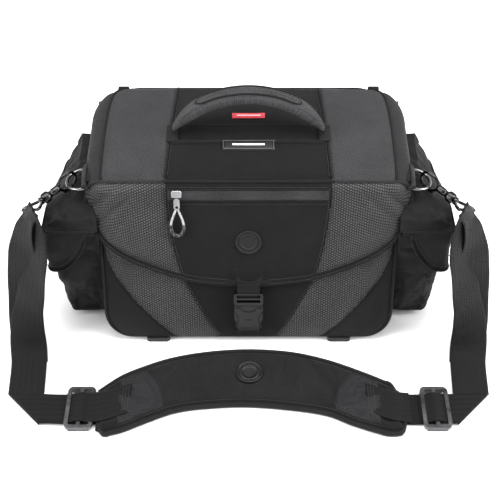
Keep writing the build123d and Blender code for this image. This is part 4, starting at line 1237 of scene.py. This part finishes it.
for sign, side in SIDES:
    plan = pouch_plan(41, 148, 160.4, pouch_out, 9)

    def body_puff(s, v, z):
        fold = groove((s - 0.045) * 330, 3.0, 5) * smooth((100 - z) / 50)
        waist = groove(z - 44, 1.6, 12) * (0.2 < s < 0.8)
        return 2.6 * math.sin(PI * clamp(v * 0.9)) - fold - waist - 4 * (1 - smooth(v / 0.06))

    def body_top(s):
        """Low at the front of the pouch, where the hood covers it, high towards the bag."""
        return lerp(134, 103, smooth((min(s, 1 - s) - 0.16) / 0.06))

    pouch = side_shell(
        f"pouch_body_{side}", plan, lambda s: 3.5, body_top, 150, 60, [NYLON_SOFT], sign, body_puff,
        2.4, 11 * sign, (hemmed, 2.5, 5),
    )
    attach(pouch, "bag", "textured_nylon", f"side_pouch_{side}")

    def floor_point(u, v, sign=sign):
        x, y = lerp(160.5, 196 - 8 * v, u), lerp(46, 143, v)
        return sign * x, y, 5.0 - 1.5 * math.cos(PI * (u - 0.5)) * math.cos(PI * (v - 0.5))

    pouch_floor = surface(f"pouch_floor_{side}", floor_point, 16, 30, [NYLON_SOFT], thick=2, offset=0)
    attach(pouch_floor, "bag", "textured_nylon")
    for k, y in enumerate((40.2, 149)):
        seam = [(sign * 161.2, y, z) for z in range(6, 137, 8)]
        attach(wire(f"pouch_seam_{side}_{k}", seam, 1.5, BINDING, 3), "bag", "textured_nylon")
    brim = []
    for k in range(41):
        s = lerp(0.02, 0.98, k / 40)
        z = body_top(s)
        x, y, _, _ = plan(s, z)
        brim.append((sign * (x - back_taper(y, x)), y, z))
    pouch_brim = sweep(f"pouch_brim_{side}", chain(brim, 3), (0, 0, 1), 3.6, 1.7, BINDING, 12, 3)
    attach(pouch_brim, "bag", "textured_nylon")

    def hood_point(u, v, sign=sign):
        y = lerp(36.6, 152.6, u)
        gable = smooth(min(1, (y - 36.4) / 8, (152.8 - y) / 3))
        inside = clamp((y - 38) / 113) * 113 + 38
        eave, rx, rz, wz = (value(inside) for value in hood_shape)
        if v < 0.45:
            t = v / 0.45
            x, z = lerp(160.6, rx, t), lerp(wz, rz, t)
        elif v < 0.85:
            t = (v - 0.45) / 0.4
            x, z = lerp(rx, HOOD_OUT, t), lerp(rz, eave, t)
        else:
            t = (v - 0.85) / 0.15
            x, z = HOOD_OUT + 2.4 * math.sin(t * PI / 2), lerp(eave, HOOD_FOLD, t)
        soft = 1.6 * bell(v) * gable
        z = lerp(HOOD_FOLD, z, gable) + soft * 0.6
        x += soft * 0.4 + rumple(x, y, z, 26, 2.6) * gable * bell(v)
        z += (rumple(x, y + 40, z, 22, 3.4) + rumple(x, y, z + 9, 10, 0.9)) * gable * bell(v)
        return sign * (x - back_taper(y, x)), y, z

    hood = surface(
        f"hood_cover_{side}", hood_point, 70, 60, [NYLON_SOFT], thick=1.6, offset=sign,
        swell=(hemmed, -1.5 * sign, 4),
    )
    attach(hood, "bag", "outer_nylon", f"pouch_hood_{side}")

    flap_plan = pouch_plan(36.4, 153.6, 171.5, lambda z: 219.0, 7)

    def tongue_bottom(s):
        return tongue_low(flap_plan(s, 100)[0])

    def tongue_puff(s, v, z):
        return 0.8 * bell(v) - 1.2 * (1 - v) * (0.3 < s < 0.7)

    tongue = side_shell(
        f"tongue_{side}", flap_plan, tongue_bottom, lambda s: 138.8, 150, 34, [NYLON_SOFT], sign,
        tongue_puff, 2.2, 31 * sign,
    )
    attach(tongue, f"pouch_flap_{side}", "outer_nylon", f"pouch_flap_{side}")
    for lift in (0.6, 7.5):
        line, normals = [], []
        for i in range(61):
            s = lerp(0.012, 0.988, i / 60)
            x, y, nx, ny = flap_plan(s, 100)
            slope = 0.0 if 0.3 < s < 0.7 else lift * 0.5
            edge_x = x + nx * 0.9 + slope * 0.6 - back_taper(y, x)
            line.append((sign * edge_x, y + ny * 1.2, tongue_low(x) + lift))
            normals.append((sign * nx, ny, 0))
        if lift < 1:
            attach(wire(f"tongue_hem_{side}", line, 1.1, NYLON_SOFT, 3), f"pouch_flap_{side}")
        else:
            stitches(f"stitch_tongue_{side}", line, normals, f"pouch_flap_{side}")
    corners = [(163, 36.6), (190, 36.0), (212, 36.4), (218.5, 42), *((219, y) for y in range(54, 144, 10))]
    corners += [(218.5, 148), (212, 153.4), (163, 153.4)]
    crease = [(sign * (x - back_taper(y, x)), y, 139.6) for x, y in corners]
    attach(wire(f"hood_crease_{side}", crease, 1.1, BINDING, 3, sides=8), "bag")

# ---- carry handle ----
LEAN = math.radians(5)


def on_handle(radius, degrees, across=0.0):
    """A point of the upright handle, by radius and angle of its arch and distance across."""
    a = math.radians(degrees)
    height = radius * math.cos(a) - 57
    y = 114 + height * math.sin(LEAN) - across * math.cos(LEAN)
    return Vector((radius * math.sin(a), y, 217 + height * math.cos(LEAN) + across * math.sin(LEAN)))


angles = [lerp(-53.5, 53.5, k / 90) for k in range(91)]
taper = table([(0, 12.4), (34, 12.2), (44, 10.4), (50, 8.0), (54, 6.4)])
plump = table([(0, 6.2), (34, 6.2), (44, 4.8), (50, 3.0), (54, 2.0)])
grip = sweep(
    "handle_pad", [on_handle(98, a) for a in angles], (0, -math.cos(LEAN), math.sin(LEAN)),
    [taper(abs(a)) for a in angles], [plump(abs(a)) for a in angles], CORDUROY, 28, 2.7,
)
attach(grip, "handle", "grip_rubber", "handle_grip", "handle_strap")


def inset_point(u, v):
    a = lerp(-31, 31, u)
    reach = 7.2 * math.sqrt(max(0.0, 1 - max(0.0, (abs(a) - 27) / 4.2) ** 2))
    across = (2 * v - 1) * reach
    ribs = 0.7 * math.cos(PI * 3 * (2 * v - 1)) * min(1, reach / 3)
    return on_handle(98 + 6.0 + ribs, a, across)


inset = surface("handle_inset", inset_point, 80, 30, [CORDUROY], thick=0.8, offset=0)
attach(inset, "handle", "grip_rubber")
loop = [on_handle(104.4, a, 7.6) for a in range(-27, 28, 6)] + [on_handle(104.3, 32, 0)]
loop += [on_handle(104.4, a, -7.6) for a in range(27, -28, -6)] + [on_handle(104.3, -32, 0)]
attach(wire("handle_piping", loop, 1.0, BINDING, 2, closed=True, sides=10), "handle", "grip_rubber")
for k, across in enumerate((-9.6, 9.6)):
    row = [on_handle(102.8, a, across) for a in range(-46, 47, 4)]
    stitches(f"stitch_handle_{k}", row, (0, 0, 1), "handle", "grip_rubber")
for sign, side in SIDES:

    def anchor_point(u, v, sign=sign):
        x, y = lerp(74.5, 86.5, u), lerp(103, 125, v)
        edge = inside(u, v, 8, 8)
        hump = 3.4 * math.exp(-(((x - 80) / 5.0) ** 2)) * math.exp(-(((y - 114) / 8) ** 2))
        return on_lid(sign * x, y, 0.2 + 1.3 * smooth(edge) + hump)

    patch = surface(f"handle_patch_{side}", anchor_point, 24, 24, [BINDING], thick=1.0, offset=0)
    attach(patch, "lid", "webbing", f"handle_anchor_{side}")
    square = [on_lid(sign * x, y, 1.8) for x, y in ((77, 105), (84.5, 105), (84.5, 123), (77, 123), (77, 105))]
    stitches(f"stitch_anchor_{side}", square, (0, 0, 1), "lid", "webbing", pitch=2.6, length=1.9)

# ---- zip, pull, labels ----
def zip_point(low, high, lift, wave=0.0):
    def point(u, v):
        x, z = lerp(-84, 84, u), lerp(low, high, v)
        return x, flap_surface(x, z) - lift - wave * bell(v), z

    return point


zip_tape = surface("zip_tape", zip_point(168.5, 183, 0.5), 80, 10, [BINDING], thick=0.5)
attach(zip_tape, "lid", "zip_tape", "flap_zip")
attach(surface("zip_coil", zip_point(171, 181, 0.9, 1.2), 160, 12, [ZIP_COIL], thick=0.5), "lid", "zip_tape")
for k, z in enumerate((166.5, 184.5)):
    row = [(x, flap_surface(x, z) - 0.4, z) for x in range(-84, 85, 6)]
    stitches(f"stitch_zip_{k}", row, FACE_OUT, "lid", "zip_tape")


def along_profile(profile, v):
    """The pair of values at v, 0 to 1, along a list of pairs."""
    spot = v * (len(profile) - 1)
    k = min(int(spot), len(profile) - 2)
    return [lerp(a, b, spot - k) for a, b in zip(profile[k], profile[k + 1])]


def ring_badge(name, centre, right, up, out, radius, body, slot, replaced):
    """A round moulded badge with a plain raised ring and a sunk middle."""
    profile = [
        (0.0, 0.9), (0.52, 0.9), (0.56, 1.5), (0.64, 1.7), (0.70, 1.5), (0.74, 0.9),
        (0.80, 0.9), (0.84, 1.9), (0.92, 2.3), (0.98, 1.9), (1.0, 0.6), (0.99, -0.8),
    ]

    def point(u, v):
        r, h = along_profile(profile, v)
        a = 2 * PI * u
        return centre + (right * math.cos(a) + up * math.sin(a)) * r * radius + out * h

    disc = surface(name, point, 72, 45, [BLACK_RUBBER], closed=True)
    return attach(disc, body, slot, replaced)


badge_at = Vector((0, flap_surface(0, 124) + 0.3, 124))
ring_badge("flap_ring", badge_at, Vector((1, 0, 0)), FACE_UP, OUT, 14.2, "lid", "badge_rubber", "flap_badge")
ring_badge(
    "pad_ring", Vector((1, -50, 9.9)), Vector((1, 0, 0)), Vector((0, 1, 0)), Vector((0, 0, 1)), 14.6,
    "strap", "badge_rubber", "pad_badge",
)


def plate_point(x_half, y_low, y_high, lift, crown):
    """A small plate on the lid, lift mm off it and crown mm thicker in the middle."""
    def point(u, v):
        edge = inside(u, v, 16, 6)
        return on_lid(lerp(-x_half, x_half, u), lerp(y_low, y_high, v), lift + crown * smooth(edge))

    return point


plate = plate_point(28, 91.5, 104.5, 0.1, 1.3)
label = surface("label_plate", plate, 60, 20, [BLACK_RUBBER], thick=0.8, offset=0)
attach(label, "lid", "label_rubber", "name_label")
border = [(-25.6, 93.2), (0, 93.2), (25.6, 93.2), (26.4, 94), (26.4, 98), (26.4, 102), (25.6, 102.8)]
border += [(0, 102.8), (-25.6, 102.8), (-26.4, 102), (-26.4, 98), (-26.4, 94)]
line = [on_lid(x, y, 1.65) for x, y in border]
attach(wire("label_border", line, 0.3, GREY_PRINT, 1.0, closed=True, sides=8), "lid", "label_rubber")
bar = surface("label_bar", plate_point(19, 96.8, 99.4, 1.35, 0.35), 40, 8, [WHITE_PRINT], thick=0.3, offset=0)
attach(bar, "lid", "label_rubber")
tag = surface("tag_cloth", plate_point(17.5, 133.6, 140.6, 0.5, 0.6), 40, 12, [RED], thick=0.6, offset=0)
attach(tag, "lid", "red_fabric", "red_tag")
plate = plate_point(14, 136.4, 137.8, 1.15, 0.2)
stripe = surface("tag_stripe", plate, 40, 6, [WHITE_PRINT], thick=0.15, offset=0)
attach(stripe, "lid", "red_fabric")

# ---- flap patch, buckle straps and buckle details ----
def patch_point(u, v):
    z = lerp(75.5, 92, v)
    half = lerp(13.6, 18.5, v)
    x = lerp(-half, half, u)
    edge = smooth(inside(u, v, 9, 5))
    return x, flap_surface(x, z) - 0.1 - 0.5 * edge, z


attach(surface("buckle_patch", patch_point, 40, 26, [WEBBING], thick=0.4, offset=0), "lid", "webbing")
outline = [(-18, 91.6), (-9, 92), (0, 92.1), (9, 92), (18, 91.6), (16.5, 85), (14.4, 78)]
outline = [(x, flap_surface(x, z) - 0.15, z) for x, z in outline]
outline = [(-x, y, z) for x, y, z in reversed(outline[5:])] + outline
attach(wire("patch_edge", outline, 0.4, BINDING, 1.5, sides=8), "lid", "webbing")
for k, inset in enumerate((2.2, 4.4)):
    row = []
    for x, z in ((-14.5, 90), (14.5, 90), (11.6, 78), (-11.6, 78), (-14.5, 90)):
        row.append((x * (1 - inset / 18), flap_surface(x, z) - 0.4, lerp(84, z, 1 - inset / 12)))
    stitches(f"stitch_patch_{k}", row, FACE_OUT, "lid", "webbing", pitch=2.6, length=1.9)


def on_pocket(x, v, off):
    """A point off the sloping face: v up the face from z 45."""
    base = Vector((x, front_y(45) - 0.4, 45))
    return base + FACE_UP * v + OUT * off


HALF_STRAP = Vector((12.2, 0, 0))
route = [(33, 7.2), (27.5, 7.4), (22, 8.8), (18.5, 9.6), (17, 11.0), (19, 12.3), (23, 12.4)]
route += [(27.5, 10.8), (33, 9.4)]
line = chain([on_pocket(0, v, off) for v, off in route], 1.5)
plug_strap = band("plug_strap", line, HALF_STRAP, 1.3, "lid", "buckle_strap")
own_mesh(plug_strap)
route = [(-37, 2.6), (-30, 3.4), (-24, 6.6), (-21.5, 8.2), (-20, 6.6), (-23, 4.4), (-30, 2.4)]
line = chain([on_pocket(0, v, off) for v, off in route], 1.5)
band("socket_web", line, HALF_STRAP, 1.3, "bag", "socket_strap")


def socket_ridge(name, points, radius):
    line = [on_pocket(x, v, 14.5) for x, v in points]
    return attach(wire(name, line, radius, BLACK_PLASTIC, 1.0, sides=10), "bag", "black_plastic")


arch = [(-14.5, 5), (-10, 6.4), (-6.5, 2.6), (0, 0.6), (6.5, 2.6), (10, 6.4), (14.5, 5)]
socket_ridge("socket_arch", arch, 0.8)
socket_ridge("socket_foot", [(-9, -19), (0, -20), (9, -19)], 0.7)
socket_ridge("socket_rib", [(-3.2, -9), (0, -9.6), (3.2, -9)], 0.6)
for sign, side in SIDES:
    cheek = [(sign * x, v) for x, v in ((15, 0), (12.2, -5), (11.4, -10), (13, -15), (14.5, -18))]
    socket_ridge(f"socket_cheek_{side}", cheek, 0.9)

# ---- zip pull ----
def on_zip(x, y):
    """A point on the plane of the closed zip's pull: x across and y up from the slider."""
    v = 158.263 + y
    return Vector((-75 + x, -39.27 + 0.32444 * v, 11.18 + 0.9459 * v))


# the pull cord's route on the zip's plane, from the slider down and back
CORD = [(-0.9, 3.4), (-3.4, -3.4), (-6.6, -12), (-7.0, -21), (-3.4, -27.6)]
CORD += [(-x, y) for x, y in reversed(CORD)]


def route_curve(name, radius):
    """The pull cord as a curve of the given radius in metres."""
    curve = bpy.data.curves.new(name, "CURVE")
    curve.dimensions = "3D"
    curve.bevel_depth = radius
    curve.bevel_resolution = 6
    spline = curve.splines.new("NURBS")
    spline.points.add(len(CORD) - 1)
    for point, (x, y) in zip(spline.points, CORD):
        p = on_zip(x, y)
        point.co = (p.x / 1000, p.y / 1000, p.z / 1000, 1)
    spline.order_u = 3
    spline.use_endpoint_u = True
    spline.resolution_u = 16
    piece = bpy.data.objects.new(name, curve)
    bpy.context.scene.collection.objects.link(piece)
    return piece


pull = route_curve("pull_loop", 0.0012)
pull.data.materials.append(CORD_CLOTH)
thin = route_curve("route_line", 0.0)
line = bpy.data.meshes.new_from_object(thin)
path = [v.co.copy() * 1000 - Vector((0, FOOT_LINE, 0)) for v in line.vertices]
bpy.data.objects.remove(thin)
low = [p for p in path if p.z < on_zip(0, -15).z]
sleeve = wire("pull_sleeve", low, 1.75, CORD_FLECK, 1.2, sides=14)
attach(sleeve, "zip_pull", "cord")
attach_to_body(pull, "zip_pull")
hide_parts("pull_cord")

# ---- rings, hooks, tabs, loops ----
CROSS = Vector((-0.2168, 0.0, -0.9762))  # across the hook, in the plane of its bow


def lathe(name, origin, axis, profile, mats, sides=28):
    """A turned piece: profile is pairs of distance along the axis and radius."""
    side = axis.orthogonal().normalized()
    over = axis.cross(side)

    def point(u, v):
        along, r = along_profile(profile, v)
        a = 2 * PI * u
        return origin + axis * along + (side * math.cos(a) + over * math.sin(a)) * r

    return surface(name, point, sides, 4 * (len(profile) - 1) + 1, mats, closed=True)


for sign, side in SIDES:

    def on_hook(x, y, sign=sign):
        return mirror(RING + HOOK * x + CROSS * y, sign)

    bow = [on_hook(9.6, 8.9)]
    for k in range(13):
        a = math.radians(lerp(70, -90, k / 12))
        bow.append(on_hook(2.4 + 8.9 * math.cos(a), 8.9 * math.sin(a)))
    for k in range(1, 13):
        a = math.radians(lerp(270, 112, k / 12))
        bow.append(on_hook(-1.9 + 9.2 * math.cos(a), 8.9 * math.sin(a)))
    wire_piece = wire(f"hook_bow_{side}", bow[1:], 1.5, DARK_METAL, 1.0, sides=14)
    attach(wire_piece, f"hook_{side}", "dark_metal", f"hook_{side}")
    barrel = [
        (10.6, 0.4), (11.0, 3.2), (12.6, 4.1), (20, 4.1), (21, 3.4), (22.6, 3.4), (24, 4.2),
        (25.6, 5.7), (27, 6.0), (31.6, 6.0), (33, 5.2), (33.2, 2.8),
    ]
    spin = lathe(f"hook_barrel_{side}", mirror(RING, sign), mirror(HOOK, sign), barrel, [DARK_METAL])
    attach(spin, f"hook_{side}", "dark_metal")
    frame_line = [(36, -3.5), (37.5, -7), (46, -20.5), (48.4, -22.6), (50, -22.6), (50, 0), (50, 22.6)]
    frame_line += [(48.4, 22.6), (46, 20.5), (37.5, 7), (36, 3.5)]
    points = [mirror(RING + HOOK * a + EYE_BAR * b, sign) for a, b in frame_line]
    eye = wire(f"eye_frame_{side}", points, 1.75, DARK_METAL, 1.2, closed=True, sides=14)
    attach(eye, "strap", "dark_metal", f"hook_eye_{side}")
    stem = [(25.5, 2.3), (33.4, 2.3), (34, 4.2), (36.6, 4.4), (37.4, 3), (37.6, 0.3)]
    neck = lathe(f"eye_neck_{side}", mirror(RING, sign), mirror(HOOK, sign), stem, [DARK_METAL], 20)
    attach(neck, "strap", "dark_metal")

    wrap = [(160.5, 176.2), (164, 177.6), (168.5, 180.6), (170.8, 181.6), (174.0, 179.5)]
    wrap += [(174.4, 176.2), (171.5, 173.4), (167.5, 172.6), (160.5, 171.6)]
    line = chain([mirror((x, 79, z), sign) for x, z in wrap], 1.2)
    band(f"tab_web_{side}", line, Vector((0, 9.8, 0)), 1.2, "bag", f"ring_tab_{side}")
    arch = [(178, 208), (179.5, 212), (183, 215.5), (187, 216), (190.2, 213), (190.8, 209), (190.8, 204)]
    line = chain([mirror((138, y, z), sign) for y, z in arch], 1.2)
    band(f"loop_web_{side}", line, Vector((5.8, 0, 0)), 1.3, "lid", f"lid_loop_{side}")

# ---- nodes shown as they are ----
SHOWN = (
    (BOARD, ("base_board",)),
    (BLACK_RUBBER, ("feet",)),
    (RING_METAL, ("d_ring_left", "d_ring_right")),
    (DARK_METAL, ("hook_gate_left", "hook_gate_right")),
    (GLIDE_METAL, ("tri_glide_left", "tri_glide_right")),
    (BRIGHT_METAL, ("zip_slider", "pull_tab")),
    (BLACK_PLASTIC, ("buckle_socket", "buckle_plug", "prong_left", "prong_right")),
)
for mat, names in SHOWN:
    for name in names:
        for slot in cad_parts[name].material_slots:
            slot.material = mat

# ---- floor, light and camera ----
def floor():
    mesh = bpy.data.meshes.new("floor")
    mesh.from_pydata([(-4, -4, 0), (4, -4, 0), (4, 4, 0), (-4, 4, 0)], [], [(0, 1, 2, 3)])
    plane = bpy.data.objects.new("floor", mesh)
    bpy.context.scene.collection.objects.link(plane)
    mat = bpy.data.materials.new("floor")
    mat.use_nodes = True
    shader = mat.node_tree.nodes["Principled BSDF"]
    shader.inputs["Base Color"].default_value = (0.93, 0.93, 0.93, 1)
    shader.inputs["Roughness"].default_value = 0.9
    mesh.materials.append(mat)


floor()


def area_light(name, where, target, size, power):
    light = bpy.data.lights.new(name, "AREA")
    light.shape = "RECTANGLE"
    light.size, light.size_y = size
    light.energy = power
    lamp = bpy.data.objects.new(name, light)
    lamp.location = where
    lamp.rotation_euler = (Vector(target) - Vector(where)).to_track_quat("-Z", "Y").to_euler()
    bpy.context.scene.collection.objects.link(lamp)


area_light("top_soft", (0.0, 0.1, 1.6), (0, 0, 0.1), (1.4, 0.8), 26)
area_light("left_soft", (-1.3, -0.5, 0.9), (0, 0, 0.12), (0.7, 1.1), 24)
area_light("right_soft", (1.3, -0.3, 0.9), (0, 0, 0.12), (0.7, 1.1), 28)

world = bpy.data.worlds.new("studio")
world.use_nodes = True
sky = world.node_tree.nodes["Background"]
sky.inputs["Color"].default_value = (1, 1, 1, 1)
sky.inputs["Strength"].default_value = 0.62
bpy.context.scene.world = world
bpy.context.scene.view_settings.view_transform = "Standard"

camera_data = bpy.data.cameras.new("camera")
camera_data.lens = 73.66
camera_data.sensor_width = 36
camera_data.clip_start = 0.01
camera = bpy.data.objects.new("camera", camera_data)
camera.location = (0.0016, -0.7611, 0.9043)
camera.rotation_euler = (math.radians(44), 0, 0)
bpy.context.scene.collection.objects.link(camera)
bpy.context.scene.camera = camera
